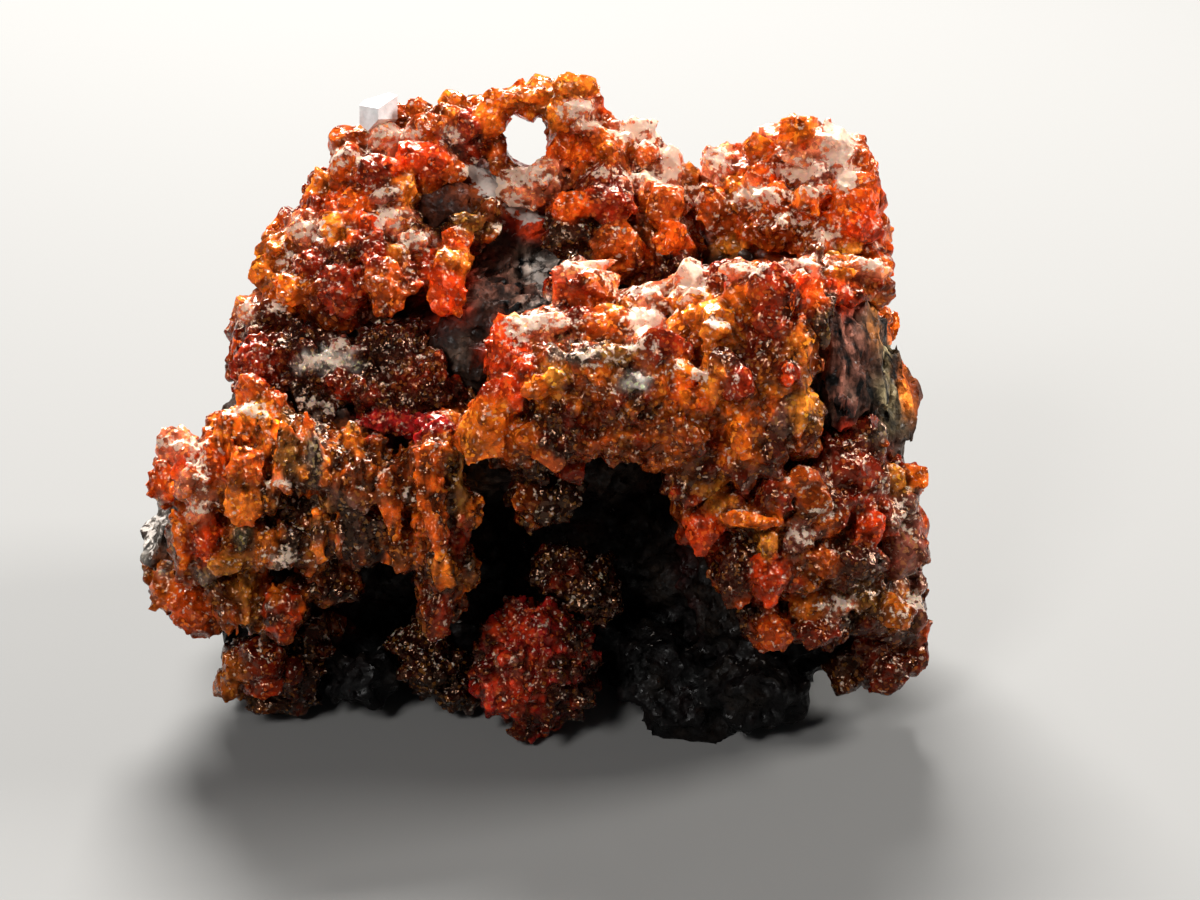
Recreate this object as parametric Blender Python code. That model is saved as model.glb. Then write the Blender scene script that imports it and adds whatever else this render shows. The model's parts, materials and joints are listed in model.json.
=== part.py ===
"""Zincite on matrix: glassy red and amber crystal masses grown on a dark rock, about 60 mm across.

Every mass is a union of flat-faced lumps. Most lumps are placed as they look from the display side: across and
up in the display plane, and back along the ground. Lengths in the tables are millimetres.
"""

import math
import random
from collections import namedtuple

import bmesh
import bpy
from mathutils import Matrix, Vector

MM = 0.001

# The line of sight from the display side
SIGHT_ELEVATION = math.radians(27.0)
SIGHT_DISTANCE = 187.0
SIGHT_ACROSS, SIGHT_UP = 5.4, 16.4

# How the masses are cut
SEAM = 0.32
GROUND_CUT_DEPTH = 30.0
SMALLEST_EDGE = 0.02
GOLDEN_ANGLE = math.pi * (3 - math.sqrt(5))
SEED = 2

# The window through the crest
WINDOW_ACROSS, WINDOW_UP, WINDOW_BACK = -0.6, 41.5, 8.0
WINDOW_HALF_WIDTH, WINDOW_HALF_HEIGHT, WINDOW_DEPTH = 1.3, 2.0, 16.0
WINDOW_SIDES = 7

# The drusy ball
BALL_ACROSS, BALL_UP, BALL_BACK = 0.2, -0.9, -10.5
BALL_RADII = (4.4, 4.4, 5.2)
BALL_CRYSTALS = 32
BALL_CRYSTAL_RADII = (1.2, 1.2, 1.3)
BALL_STAND = 0.95

# Faces of a lump, by how large it is, and how unevenly they are turned and cut
LARGE_RADIUS, MEDIUM_RADIUS = 4.6, 2.3
LARGE_FACES, MEDIUM_FACES, SMALL_FACES = 16, 10, 8
FACE_JITTER = 0.22
NEAREST_CUT, FARTHEST_CUT = 0.81, 0.98

# Shape of a ball crystal: its lean, its side and tip faces, and where those faces cut
CRYSTAL_LEAN = 0.25
SIDE_RISE, TIP_RISE = 0.1, 0.75
SIDE_CUTS, TIP_CUTS = (0.75, 1.0), (0.6, 0.8)

# A sphere this much larger than a solid's farthest face holds the whole solid
CORNER_REACH = 1.4

Lump = namedtuple("Lump", "centre radii")
Solid = namedtuple("Solid", "centre planes")

EYE_FORWARD = Vector((0, math.cos(SIGHT_ELEVATION), -math.sin(SIGHT_ELEVATION)))
EYE_UP = Vector((0, math.sin(SIGHT_ELEVATION), math.cos(SIGHT_ELEVATION)))
EYE_ACROSS = Vector((1, 0, 0))
EYE = EYE_ACROSS * SIGHT_ACROSS + EYE_UP * SIGHT_UP - EYE_FORWARD * SIGHT_DISTANCE


def sight(across, up):
    """The direction from the eye to a point of the display plane."""
    shift = EYE_ACROSS * (across - SIGHT_ACROSS) + EYE_UP * (up - SIGHT_UP)
    return EYE_FORWARD * SIGHT_DISTANCE + shift


def seen(across, up, back, *radii):
    """A lump on the sight line through (across, up), where that line is `back` from the front to back middle."""
    direction = sight(across, up)
    centre = EYE + direction * ((back - EYE.y) / direction.y)
    return Lump(centre, radii)


def placed(x, y, z, *radii):
    """A lump given by its own place, for what the display side doesn't show."""
    return Lump(Vector((x, y, z)), radii)


MATRIX = [
    placed(11, 6, 8, 14, 11, 11),
    placed(-8, 6, 8.5, 13.5, 11.5, 11.5),
    placed(0, 5, 22, 16, 11, 11),
    placed(-15, -1, 19, 10, 9, 7.5),
    placed(18.5, 1, 24, 7.6, 9.5, 11),
    placed(20, -3, 10, 8, 8.5, 9.5),
    placed(7, -4.5, 26.5, 7, 5.5, 5),
    placed(-5, 8, 32.5, 10, 5.5, 6.5),
    placed(6, 8, 33, 7, 5, 5.5),
    placed(18, 8, 32, 6.5, 5.5, 6.5),
    placed(-3, -1, 27.5, 6.5, 6, 5.6),
    placed(-20, 7, 12, 5.2, 5.6, 5.4),
    placed(-16, 12, 6, 5.4, 5.2, 5.6),
    placed(-5, 15, 7, 4.6, 4.2, 5.4),
    placed(7, 15.5, 5, 4.4, 3.8, 4.6),
    placed(17, 12, 8, 5.2, 4.6, 5.8),
    placed(24, 4, 5.5, 4.0, 5.0, 4.6),
    placed(25.2, 2, 14, 3.0, 4.4, 3.8),
    placed(-20, -4, 12, 7, 6.5, 6),
    placed(-18, -4.5, 4, 6, 5, 4.6),
    placed(-5, -3, 4, 6, 5, 4.6),
    placed(3, -3, 5, 5, 5, 5),
    seen(-28.4, 9.8, -6.4, 2.2, 3.2, 2.9),
    seen(25.9, 17.4, -3, 2.9, 4.6, 5.8),
    seen(24.4, 23.6, -5.5, 3.4, 4.4, 5.2),
    seen(17.8, -2.8, -10.4, 3.6, 3.6, 3.3),
    seen(13.0, -4.4, -9.6, 3.7, 3.4, 2.9),
    seen(9.6, -1.2, -8, 3.2, 3.4, 3.2),
    seen(-13.6, -1.6, -8.6, 2.9, 3.0, 2.4),
]

WHITE_CHIP = [
    seen(-12.4, 43.4, 7.4, 1.3, 1.3, 1.0),
]

CREST = [
    seen(-11.4, 40.4, 8, 2.6, 3.4, 2.5),
    seen(-13.0, 38.8, 7, 2.9, 4.0, 3.0),
    seen(-8.4, 41.4, 8, 3.0, 3.4, 2.6),
    seen(-7.6, 38.8, 6, 3.4, 3.4, 3.0),
    seen(-5.0, 42.4, 8, 2.4, 2.8, 1.9),
    seen(-2.8, 43.7, 8, 2.1, 2.0, 0.75),
    seen(-0.2, 44.3, 8, 2.1, 1.9, 0.85),
    seen(-3.6, 41.8, 8, 1.5, 2.3, 2.6),
    seen(-2.2, 38.2, 7, 3.0, 3.0, 1.9),
    seen(1.0, 37.6, 6.5, 2.6, 3.0, 2.0),
    seen(2.4, 41.4, 8, 1.7, 2.4, 3.0),
    seen(3.0, 43.8, 8, 2.6, 2.9, 2.5),
    seen(5.9, 40.4, 8, 2.7, 3.0, 2.8),
    seen(8.6, 39.9, 8, 2.5, 2.9, 2.3),
    seen(9.8, 38.4, 8, 2.0, 2.9, 2.9),
    seen(5.6, 37.4, 4, 2.9, 2.6, 1.9),
    seen(3.4, 34.6, 3, 2.4, 2.4, 1.9),
    seen(9.6, 34.6, 4, 3.4, 3.4, 3.2),
    seen(6.6, 32.0, 2, 2.8, 3.0, 2.4),
    seen(11.4, 36.2, 6, 2.2, 3.0, 3.0),
    seen(11.8, 31.6, 3, 2.6, 3.0, 2.6),
    seen(-14.7, 36.2, 6, 3.1, 4.0, 3.1),
    seen(-12.0, 36.4, 4, 3.2, 3.4, 3.0),
    seen(-17.2, 33.0, 4, 3.1, 4.0, 3.2),
    seen(-13.8, 32.6, 1.5, 3.3, 3.6, 3.2),
    seen(-11.4, 30.4, -1.5, 1.7, 2.3, 2.8),
    seen(-7.2, 30.2, -1.6, 1.6, 2.0, 2.7),
    seen(-5.4, 33.8, 2, 2.3, 2.4, 1.5),
    seen(-9.4, 33.4, 1.5, 2.2, 2.6, 1.5),
    seen(-19.4, 29.4, 2, 2.6, 3.8, 2.7),
    seen(-16.4, 29.0, -1, 3.2, 3.3, 2.9),
    seen(-21.0, 26.2, 0, 2.6, 3.5, 2.6),
]

FLANK = [
    seen(-21.4, 22.6, -3, 2.5, 3.0, 2.7),
    seen(-18.4, 24.6, -3.6, 2.9, 3.0, 2.3),
    seen(-15.2, 22.6, -5.6, 3.1, 3.1, 2.6),
    seen(-11.6, 24.0, -5.0, 3.2, 3.1, 2.5),
    seen(-8.4, 21.4, -6.6, 2.9, 3.0, 2.7),
    seen(-12.0, 20.2, -7.0, 2.9, 3.0, 2.0),
    seen(-18.8, 20.8, -6.0, 2.7, 3.0, 2.0),
]

TOWER = [
    seen(16.0, 36.9, 7, 2.4, 3.4, 3.0),
    seen(18.4, 38.2, 7, 2.5, 3.6, 2.8),
    seen(21.4, 40.1, 7, 2.8, 3.6, 2.5),
    seen(23.9, 39.0, 6, 2.8, 3.8, 3.0),
    seen(25.5, 36.2, 5, 2.0, 3.6, 3.0),
    placed(16.0, 12.5, 34.0, 3.0, 2.8, 3.4),
    placed(20.6, 12.0, 36.0, 3.2, 2.9, 3.6),
    placed(23.8, 9.6, 31.0, 2.6, 3.2, 3.8),
    seen(16.0, 35.2, 5, 2.7, 3.2, 2.7),
    seen(19.8, 34.0, 3, 3.7, 3.4, 2.9),
    seen(23.6, 33.4, 2, 3.2, 3.4, 2.8),
    seen(25.8, 34.8, 2.6, 2.1, 2.6, 2.8),
    seen(22.0, 37.4, 5, 3.2, 3.2, 2.6),
    seen(26.8, 32.2, 2, 1.6, 2.9, 2.0),
]

LEDGE = [
    seen(-2.0, 24.0, -9, 1.7, 2.5, 2.7),
    seen(1.0, 26.0, -8, 2.8, 2.8, 1.6),
    seen(4.8, 26.2, -8, 2.7, 2.8, 1.6),
    seen(3.8, 29.4, -3.6, 2.5, 2.4, 2.0),
    seen(8.2, 27.6, -6, 2.5, 2.5, 1.9),
    seen(1.4, 22.0, -12, 2.9, 3.3, 2.6),
    seen(5.6, 22.2, -13, 3.1, 3.4, 2.7),
    seen(9.8, 22.6, -12.5, 3.0, 3.4, 2.9),
    seen(2.8, 18.6, -13.5, 3.1, 3.4, 2.7),
    seen(7.2, 18.4, -14, 3.3, 3.4, 2.6),
    seen(11.6, 18.6, -13.5, 3.1, 3.4, 2.8),
    seen(-0.6, 17.0, -12, 2.5, 3.2, 3.3),
    seen(0.8, 13.2, -11, 2.6, 3.2, 2.6),
    seen(-3.4, 18.2, -12.5, 1.6, 2.3, 2.5),
    seen(13.0, 15.4, -13, 2.6, 3.2, 2.6),
    seen(13.4, 28.8, -6, 2.4, 2.8, 1.8),
    seen(15.0, 26.0, -9, 3.1, 3.6, 3.2),
    seen(18.4, 28.4, -8, 2.9, 3.7, 2.7),
    seen(21.6, 28.6, -7.4, 2.7, 3.7, 2.5),
    seen(19.2, 23.4, -11, 3.2, 3.4, 3.2),
    seen(15.8, 21.2, -12, 2.9, 3.4, 2.9),
    seen(17.4, 17.0, -12.5, 3.1, 3.4, 2.8),
    seen(21.2, 18.8, -11.5, 2.3, 3.0, 3.1),
    seen(24.8, 29.6, -5, 2.3, 3.3, 1.5),
    seen(26.2, 30.2, -4, 1.7, 3.0, 1.5),
]

RIGHT_LEG = [
    seen(25.4, 16.2, -9, 2.6, 3.2, 2.6),
    seen(27.6, 12.6, -9, 2.5, 3.2, 3.0),
    seen(29.2, 8.8, -8, 1.8, 3.0, 3.2),
    seen(22.4, 12.8, -12, 3.0, 3.4, 2.7),
    seen(18.2, 12.2, -13, 3.0, 3.4, 2.5),
    seen(13.8, 10.2, -12.6, 1.5, 2.1, 2.7),
    seen(16.4, 7.6, -12, 2.2, 2.8, 3.0),
    seen(20.6, 8.2, -13, 3.3, 3.4, 3.0),
    seen(25.0, 7.8, -12, 3.2, 3.4, 3.0),
    seen(18.8, 3.2, -12, 2.3, 2.9, 2.5),
    seen(22.6, 3.6, -12, 3.1, 3.2, 2.5),
    seen(27.0, 4.0, -11, 3.1, 3.2, 2.8),
    seen(29.8, 3.4, -9, 1.7, 2.8, 3.0),
    seen(28.0, -0.6, -9.6, 2.5, 2.8, 2.1),
    seen(25.2, 0.2, -9.4, 2.0, 2.6, 1.6),
]

LEFT_LOBE = [
    seen(-28.0, 14.4, -8, 2.2, 2.9, 2.1),
    seen(-23.8, 17.2, -8, 2.7, 3.4, 2.1),
    seen(-21.0, 18.4, -9.6, 2.7, 3.2, 1.9),
    seen(-25.6, 14.2, -11, 2.7, 3.2, 2.6),
    seen(-21.8, 14.4, -12, 3.0, 3.4, 2.9),
    seen(-17.6, 16.0, -11.6, 2.8, 3.2, 2.4),
    seen(-26.4, 9.2, -11.4, 2.7, 3.0, 2.7),
    seen(-22.4, 9.4, -12.6, 2.6, 3.0, 2.6),
    seen(-28.8, 5.8, -8.6, 1.9, 2.8, 2.1),
    seen(-26.6, 4.2, -10, 2.4, 2.8, 1.9),
    seen(-23.2, 4.8, -12, 2.7, 3.0, 2.2),
    seen(-20.2, 3.8, -12, 2.1, 2.7, 2.0),
    seen(-17.6, 9.6, -12.4, 2.6, 3.0, 2.8),
    seen(-13.6, 14.6, -11.6, 2.9, 3.2, 2.6),
    seen(-12.8, 10.6, -12, 2.9, 3.2, 2.9),
    seen(-16.2, 6.4, -11, 2.7, 2.9, 2.2),
    seen(-9.4, 14.2, -12, 2.2, 2.9, 2.5),
    seen(-7.4, 16.4, -12.2, 2.0, 2.8, 2.4),
    seen(-7.2, 12.2, -13, 2.3, 2.9, 2.9),
    seen(-7.4, 8.0, -13, 2.2, 2.6, 2.6),
    seen(-7.6, 4.6, -12.6, 1.7, 2.1, 2.3),
]

LEFT_FOOT = [
    seen(-22.2, -0.6, -9.6, 2.6, 3.0, 2.6),
    seen(-19.2, -1.6, -9.2, 2.4, 2.8, 2.4),
    seen(-18.0, 1.4, -7.4, 2.6, 3.0, 2.4),
]

BACK_CRUST = [
    placed(-13.0, 13.4, 33.2, 3.8, 3.2, 3.7),
    placed(-17.0, 11.6, 28.0, 4.2, 3.8, 4.1),
    placed(-19.4, 8.0, 23.8, 3.8, 4.2, 4.2),
    placed(-14.8, 14.0, 23.4, 4.3, 3.4, 4.2),
    placed(-9.4, 15.0, 29.2, 4.2, 3.2, 4.3),
    placed(-9.6, 15.8, 20.6, 3.8, 3.0, 3.9),
    placed(-3.6, 15.0, 33.0, 3.7, 3.0, 3.4),
    placed(-3.8, 16.2, 26.4, 4.1, 3.0, 4.2),
    placed(2.8, 15.2, 30.6, 4.0, 3.1, 3.8),
    placed(8.6, 14.0, 32.4, 3.8, 3.1, 3.7),
    placed(4.0, 16.0, 24.4, 4.2, 3.0, 3.9),
    placed(10.0, 14.4, 26.4, 4.1, 3.2, 4.2),
    placed(14.8, 12.6, 29.0, 3.8, 3.4, 3.9),
    placed(15.2, 12.4, 22.6, 4.1, 3.4, 4.1),
    placed(20.0, 10.2, 25.8, 3.7, 3.6, 4.0),
]

BACK_CORNER = [
    placed(23.6, 7.4, 20.5, 3.3, 3.8, 3.9),
    placed(24.2, 4.2, 25, 3.0, 3.8, 3.9),
    placed(25.4, 5.4, 16.4, 2.9, 3.6, 3.5),
    placed(22.6, 9.6, 15.6, 3.4, 3.4, 3.6),
]

KNOB_LEFT = [
    seen(-8.6, -0.2, -8.4, 2.9, 2.9, 2.9),
    seen(-6.0, -2.0, -8.8, 2.2, 2.5, 2.4),
]

KNOB_RIGHT = [
    seen(4.4, 5.0, -8.6, 2.5, 3.0, 2.6),
    seen(2.0, 6.6, -7.8, 2.0, 2.8, 2.0),
]

BASE_COLOURS = {
    "matrix": (0.055, 0.045, 0.042, 1.0),
    "white_chip": (0.72, 0.70, 0.62, 1.0),
    "zincite_crest": (0.55, 0.13, 0.012, 1.0),
    "zincite_flank": (0.16, 0.018, 0.010, 1.0),
    "zincite_tower": (0.56, 0.12, 0.014, 1.0),
    "zincite_ledge": (0.42, 0.075, 0.010, 1.0),
    "zincite_right_leg": (0.34, 0.045, 0.010, 1.0),
    "zincite_left_lobe": (0.46, 0.13, 0.012, 1.0),
    "zincite_left_foot": (0.30, 0.040, 0.010, 1.0),
    "zincite_ball": (0.30, 0.008, 0.008, 1.0),
    "zincite_knob_left": (0.12, 0.012, 0.008, 1.0),
    "zincite_knob_right": (0.12, 0.012, 0.008, 1.0),
    "zincite_back_crust": (0.42, 0.090, 0.012, 1.0),
    "zincite_back_corner": (0.42, 0.090, 0.012, 1.0),
}
ROCK_ROUGHNESS, CRYSTAL_ROUGHNESS = 0.7, 0.15


def ball_lumps():
    """The ball's body, and its small crystals spread evenly over it, each with a direction to point in."""
    body = seen(BALL_ACROSS, BALL_UP, BALL_BACK, *BALL_RADII)
    crystals = []
    for i in range(BALL_CRYSTALS):
        direction = even_direction(i, BALL_CRYSTALS)
        stand = Vector([r * d for r, d in zip(BALL_RADII, direction)]) * BALL_STAND
        crystals.append((body.centre + stand, stand.normalized()))
    return body, crystals


def even_direction(index, count, turn=0.0):
    """The index-th of `count` directions spread evenly over a sphere."""
    height = 1 - 2 * (index + 0.5) / count
    flat = math.sqrt(1 - height * height)
    angle = GOLDEN_ANGLE * index + turn
    return Vector((flat * math.cos(angle), flat * math.sin(angle), height))


def face_count(radii):
    """Large lumps have more flat faces than small ones."""
    mean = sum(radii) / 3
    if mean > LARGE_RADIUS:
        return LARGE_FACES
    return MEDIUM_FACES if mean > MEDIUM_RADIUS else SMALL_FACES


def lump_solid(lump, rng):
    """The flat faces round a lump, each by its outward normal and its distance from the centre."""
    count = face_count(lump.radii)
    turn = rng.random() * math.tau
    tilt = Matrix.Rotation(rng.uniform(0, math.pi), 3, Vector((rng.random(), rng.random(), rng.random())))
    planes = []
    for i in range(count):
        jitter = Vector([rng.uniform(-FACE_JITTER, FACE_JITTER) for _ in range(3)])
        normal = (tilt @ even_direction(i, count, turn) + jitter).normalized()
        reach = Vector([r * n for r, n in zip(lump.radii, normal)]).length
        planes.append((normal, reach * rng.uniform(NEAREST_CUT, FARTHEST_CUT)))
    return Solid(lump.centre, planes)


def crystal_solid(centre, direction, radii, rng):
    """A small blunt crystal with a three-sided end, leaning a little from the direction it stands along."""
    lean = Vector([rng.uniform(-CRYSTAL_LEAN, CRYSTAL_LEAN) for _ in range(3)])
    upright = (direction + lean).to_track_quat("Z", "Y")
    stand = upright @ Matrix.Rotation(rng.uniform(0, math.tau), 3, "Z").to_quaternion()
    planes = [(stand @ Vector((0, 0, -1)), radii[2])]
    for i in range(3):
        around = Matrix.Rotation(math.tau * i / 3, 3, "Z") @ Vector((1, 0, 0))
        side = Vector((-around.x, -around.y, SIDE_RISE)).normalized()
        tip = Vector((around.x, around.y, TIP_RISE)).normalized()
        planes.append((stand @ side, radii[0] * rng.uniform(*SIDE_CUTS)))
        planes.append((stand @ tip, radii[2] * rng.uniform(*TIP_CUTS)))
    return Solid(centre, planes)


def ground_solid():
    """Everything below the ground, as six faces."""
    centre = Vector((0, 0, -GROUND_CUT_DEPTH))
    wide = 3 * GROUND_CUT_DEPTH
    sides = [Vector(axis) * sign for axis in ((1, 0, 0), (0, 1, 0)) for sign in (1, -1)]
    planes = [(side, wide) for side in sides]
    planes += [(Vector((0, 0, 1)), GROUND_CUT_DEPTH), (Vector((0, 0, -1)), GROUND_CUT_DEPTH)]
    return Solid(centre, planes)


def window_solid():
    """The window through the crest, a few-sided tunnel along the line of sight."""
    window = seen(WINDOW_ACROSS, WINDOW_UP, WINDOW_BACK)
    along = sight(WINDOW_ACROSS, WINDOW_UP).normalized()
    upright = EYE_ACROSS.cross(along)
    planes = [(along, WINDOW_DEPTH), (-along, WINDOW_DEPTH)]
    for i in range(WINDOW_SIDES):
        angle = math.tau * i / WINDOW_SIDES
        normal = EYE_ACROSS * math.cos(angle) + upright * math.sin(angle)
        reach = math.hypot(WINDOW_HALF_WIDTH * math.cos(angle), WINDOW_HALF_HEIGHT * math.sin(angle))
        planes.append((normal, reach))
    return Solid(window.centre, planes)


def solid_mesh(solid, swell=0.0):
    """The convex mesh inside a solid's planes, each moved out by `swell` millimetres."""
    far = 4 * max(distance for _, distance in solid.planes)
    shape = bmesh.new()
    bmesh.ops.create_cube(shape, size=far)
    for normal, distance in solid.planes:
        cut = bmesh.ops.bisect_plane(
            shape,
            geom=shape.verts[:] + shape.edges[:] + shape.faces[:],
            plane_co=normal * (distance + swell),
            plane_no=normal,
            clear_outer=True,
        )
        rim = [part for part in cut["geom_cut"] if isinstance(part, bmesh.types.BMEdge)]
        if rim:
            bmesh.ops.edgeloop_fill(shape, edges=rim)
    bmesh.ops.remove_doubles(shape, verts=shape.verts[:], dist=SMALLEST_EDGE)
    bmesh.ops.recalc_face_normals(shape, faces=shape.faces[:])
    shape.transform(Matrix.Scale(MM, 4) @ Matrix.Translation(solid.centre))
    mesh = bpy.data.meshes.new("lump")
    shape.to_mesh(mesh)
    shape.free()
    return mesh


def helpers(name, solids, swell=0.0):
    """A collection with one object for each solid, for a Boolean to read."""
    collection = bpy.data.collections.new(name)
    bpy.context.scene.collection.children.link(collection)
    for solid in solids:
        collection.objects.link(bpy.data.objects.new(name, solid_mesh(solid, swell)))
    return collection


def discard(collection):
    """Removes a collection of helpers and their meshes."""
    for helper in list(collection.objects):
        bpy.data.meshes.remove(helper.data)
    bpy.data.collections.remove(collection)


def combined(mesh, collection, operation):
    """The mesh joined with, or cut by, everything in a collection."""
    work = bpy.data.objects.new("work", mesh)
    bpy.context.scene.collection.objects.link(work)
    boolean = work.modifiers.new(operation.title(), "BOOLEAN")
    boolean.operand_type = "COLLECTION"
    boolean.collection = collection
    boolean.operation = operation
    graph = bpy.context.evaluated_depsgraph_get()
    made = bpy.data.meshes.new_from_object(work.evaluated_get(graph))
    bpy.data.objects.remove(work)
    bpy.data.meshes.remove(mesh)
    return made


def centre_and_reach(solid):
    """A sphere that holds the solid."""
    return solid.centre, max(distance for _, distance in solid.planes) * CORNER_REACH


def near(solid, others):
    """True if the solid may touch one of the others."""
    centre, reach = centre_and_reach(solid)
    return any((centre - c).length < reach + r for c, r in map(centre_and_reach, others))


def largest_piece(mesh):
    """Keeps the largest connected piece of a mesh."""
    shape = bmesh.new()
    shape.from_mesh(mesh)
    left = set(shape.verts)
    pieces = []
    while left:
        piece, front = set(), [left.pop()]
        while front:
            vertex = front.pop()
            piece.add(vertex)
            for edge in vertex.link_edges:
                other = edge.other_vert(vertex)
                if other in left:
                    left.remove(other)
                    front.append(other)
        pieces.append(piece)
    largest = max(pieces, key=len)
    bmesh.ops.delete(shape, geom=[v for v in shape.verts if v not in largest], context="VERTS")
    bmesh.ops.triangulate(shape, faces=shape.faces[:])
    shape.to_mesh(mesh)
    shape.free()
    return mesh


def material(name, colour, roughness):
    """A plain finish in the colour that the piece shows."""
    made = bpy.data.materials.new(name)
    made.use_nodes = True
    shader = made.node_tree.nodes["Principled BSDF"]
    shader.inputs["Base Color"].default_value = colour
    shader.inputs["Roughness"].default_value = roughness
    shader.inputs["Metallic"].default_value = 0.0
    return made


def grow(name, solids, neighbours):
    """One node: its solids joined in one, cut back from the ground, the window and the neighbours before it."""
    body = helpers(name + "_lumps", solids[1:])
    mesh = combined(solid_mesh(solids[0]), body, "UNION")
    discard(body)
    close = [solid for solid in neighbours if near(solid, solids)]
    if close:
        seams = helpers(name + "_seams", close, SEAM)
        mesh = combined(mesh, seams, "DIFFERENCE")
        discard(seams)
    cuts = helpers(name + "_cuts", [ground_solid(), window_solid()])
    mesh = combined(mesh, cuts, "DIFFERENCE")
    discard(cuts)
    node = bpy.data.objects.new(name, largest_piece(mesh))
    bpy.context.scene.collection.objects.link(node)
    roughness = ROCK_ROUGHNESS if name == "matrix" else CRYSTAL_ROUGHNESS
    node.data.materials.clear()
    node.data.materials.append(material(name, BASE_COLOURS[name], roughness))
    return node


def centred(nodes):
    """Moves all the nodes so that the origin is under the middle of their box, on the ground."""
    corners = [vertex.co for node in nodes for vertex in node.data.vertices]
    lowest = Vector([min(c[i] for c in corners) for i in range(3)])
    highest = Vector([max(c[i] for c in corners) for i in range(3)])
    middle = (lowest + highest) / 2
    for node in nodes:
        node.data.transform(Matrix.Translation((-middle.x, -middle.y, -lowest.z)))


def main():
    for old in list(bpy.data.objects):
        bpy.data.objects.remove(old)
    ball, ball_crystals = ball_lumps()
    masses = {
        "matrix": MATRIX,
        "zincite_ball": [ball],
        "white_chip": WHITE_CHIP,
        "zincite_crest": CREST,
        "zincite_tower": TOWER,
        "zincite_ledge": LEDGE,
        "zincite_left_lobe": LEFT_LOBE,
        "zincite_flank": FLANK,
        "zincite_right_leg": RIGHT_LEG,
        "zincite_left_foot": LEFT_FOOT,
        "zincite_knob_left": KNOB_LEFT,
        "zincite_knob_right": KNOB_RIGHT,
        "zincite_back_crust": BACK_CRUST,
        "zincite_back_corner": BACK_CORNER,
    }
    nodes, earlier = [], []
    for name, lumps in masses.items():
        rng = random.Random(f"{name} {SEED}")
        solids = [lump_solid(lump, rng) for lump in lumps]
        if name == "zincite_ball":
            solids += [crystal_solid(*stand, BALL_CRYSTAL_RADII, rng) for stand in ball_crystals]
        nodes.append(grow(name, solids, earlier))
        earlier += solids
    centred(nodes)


main()
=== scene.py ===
"""Zincite on matrix: glassy crystal crusts in red, orange and amber over a dark rock.

Each crystal mass of the frame is drawn in a little, then dressed with crystals: listed large ones that
show from the display side, and a coarse and a fine layer all over. They are joined and melted together a
little, as grown crystals are. Colours are laid on crystal by crystal, with painted shade deep between the
crystals and low down, painted light at their tips and high up, painted glare on upper sides and painted
glints.
Lengths are millimetres unless a name says otherwise; the frame itself is in metres.
"""

import json
import math
import random

import bmesh
import bpy
import numpy as np
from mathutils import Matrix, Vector, noise
from mathutils.bvhtree import BVHTree
from mathutils.kdtree import KDTree

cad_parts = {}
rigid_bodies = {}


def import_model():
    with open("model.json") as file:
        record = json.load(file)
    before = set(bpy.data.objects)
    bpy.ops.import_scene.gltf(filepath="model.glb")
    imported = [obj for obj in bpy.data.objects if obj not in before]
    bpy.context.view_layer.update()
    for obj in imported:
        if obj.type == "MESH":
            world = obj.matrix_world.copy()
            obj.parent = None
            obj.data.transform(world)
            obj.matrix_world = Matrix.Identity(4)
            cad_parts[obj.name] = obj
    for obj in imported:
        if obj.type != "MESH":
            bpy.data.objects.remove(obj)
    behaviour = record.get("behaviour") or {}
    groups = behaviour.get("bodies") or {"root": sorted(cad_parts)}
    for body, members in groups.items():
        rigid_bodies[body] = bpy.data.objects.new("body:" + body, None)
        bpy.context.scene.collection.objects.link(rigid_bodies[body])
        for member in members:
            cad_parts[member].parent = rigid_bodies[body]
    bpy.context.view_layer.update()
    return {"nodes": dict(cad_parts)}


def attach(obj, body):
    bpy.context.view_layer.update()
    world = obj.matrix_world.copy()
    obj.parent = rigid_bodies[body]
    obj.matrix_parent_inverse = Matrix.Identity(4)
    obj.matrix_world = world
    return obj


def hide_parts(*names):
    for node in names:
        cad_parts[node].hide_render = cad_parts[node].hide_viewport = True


MM = 0.001
GOLDEN_ANGLE = math.pi * (3 - math.sqrt(5))
BODY = "root"

# The display side: the same line of sight as the part's, moved with the part's own centring
SIGHT_ELEVATION = math.radians(27.0)
SIGHT_DISTANCE = 187.0
SIGHT_ACROSS, SIGHT_UP = 5.4, 16.4
CENTRING = np.array((-0.5444, -2.0527, 0.0))
LENS, SENSOR = 70.0, 36.0

# Directions of the display side
FORWARD = np.array((0.0, math.cos(SIGHT_ELEVATION), -math.sin(SIGHT_ELEVATION)))
UPWARD = np.array((0.0, math.sin(SIGHT_ELEVATION), math.cos(SIGHT_ELEVATION)))
ACROSS = np.array((1.0, 0.0, 0.0))
EYE = ACROSS * SIGHT_ACROSS + UPWARD * SIGHT_UP - FORWARD * SIGHT_DISTANCE + CENTRING

# Shapes of single crystals
SHAPES = 16
ROUND_FACES = 12
SHARP_FACES = 11
GROUND_CLEARANCE = 0.03
CRISP_EDGE = math.radians(30.0)

# Colours of the crystals and the rock, in linear light
COLOURS = {
    "black": (0.022, 0.006, 0.003),
    "maroon": (0.060, 0.008, 0.004),
    "dark red": (0.210, 0.013, 0.003),
    "ruby": (0.360, 0.010, 0.010),
    "bright red": (0.880, 0.045, 0.012),
    "red": (0.640, 0.040, 0.004),
    "red orange": (0.720, 0.070, 0.004),
    "orange": (0.730, 0.112, 0.006),
    "amber": (0.650, 0.132, 0.010),
    "straw": (0.720, 0.205, 0.020),
    "brown": (0.150, 0.028, 0.006),
    "rust": (0.400, 0.055, 0.005),
    "olive": (0.190, 0.064, 0.012),
    "mauve": (0.300, 0.080, 0.052),
    "pink": (0.700, 0.160, 0.070),
    "rock": (0.036, 0.019, 0.012),
    "grey": (0.140, 0.092, 0.066),
    "silver": (0.420, 0.370, 0.320),
    "green grey": (0.130, 0.105, 0.056),
    "umber": (0.080, 0.030, 0.020),
}

# Colours of the painted glare, whitish highlights, on the crystals and on the rock
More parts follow.
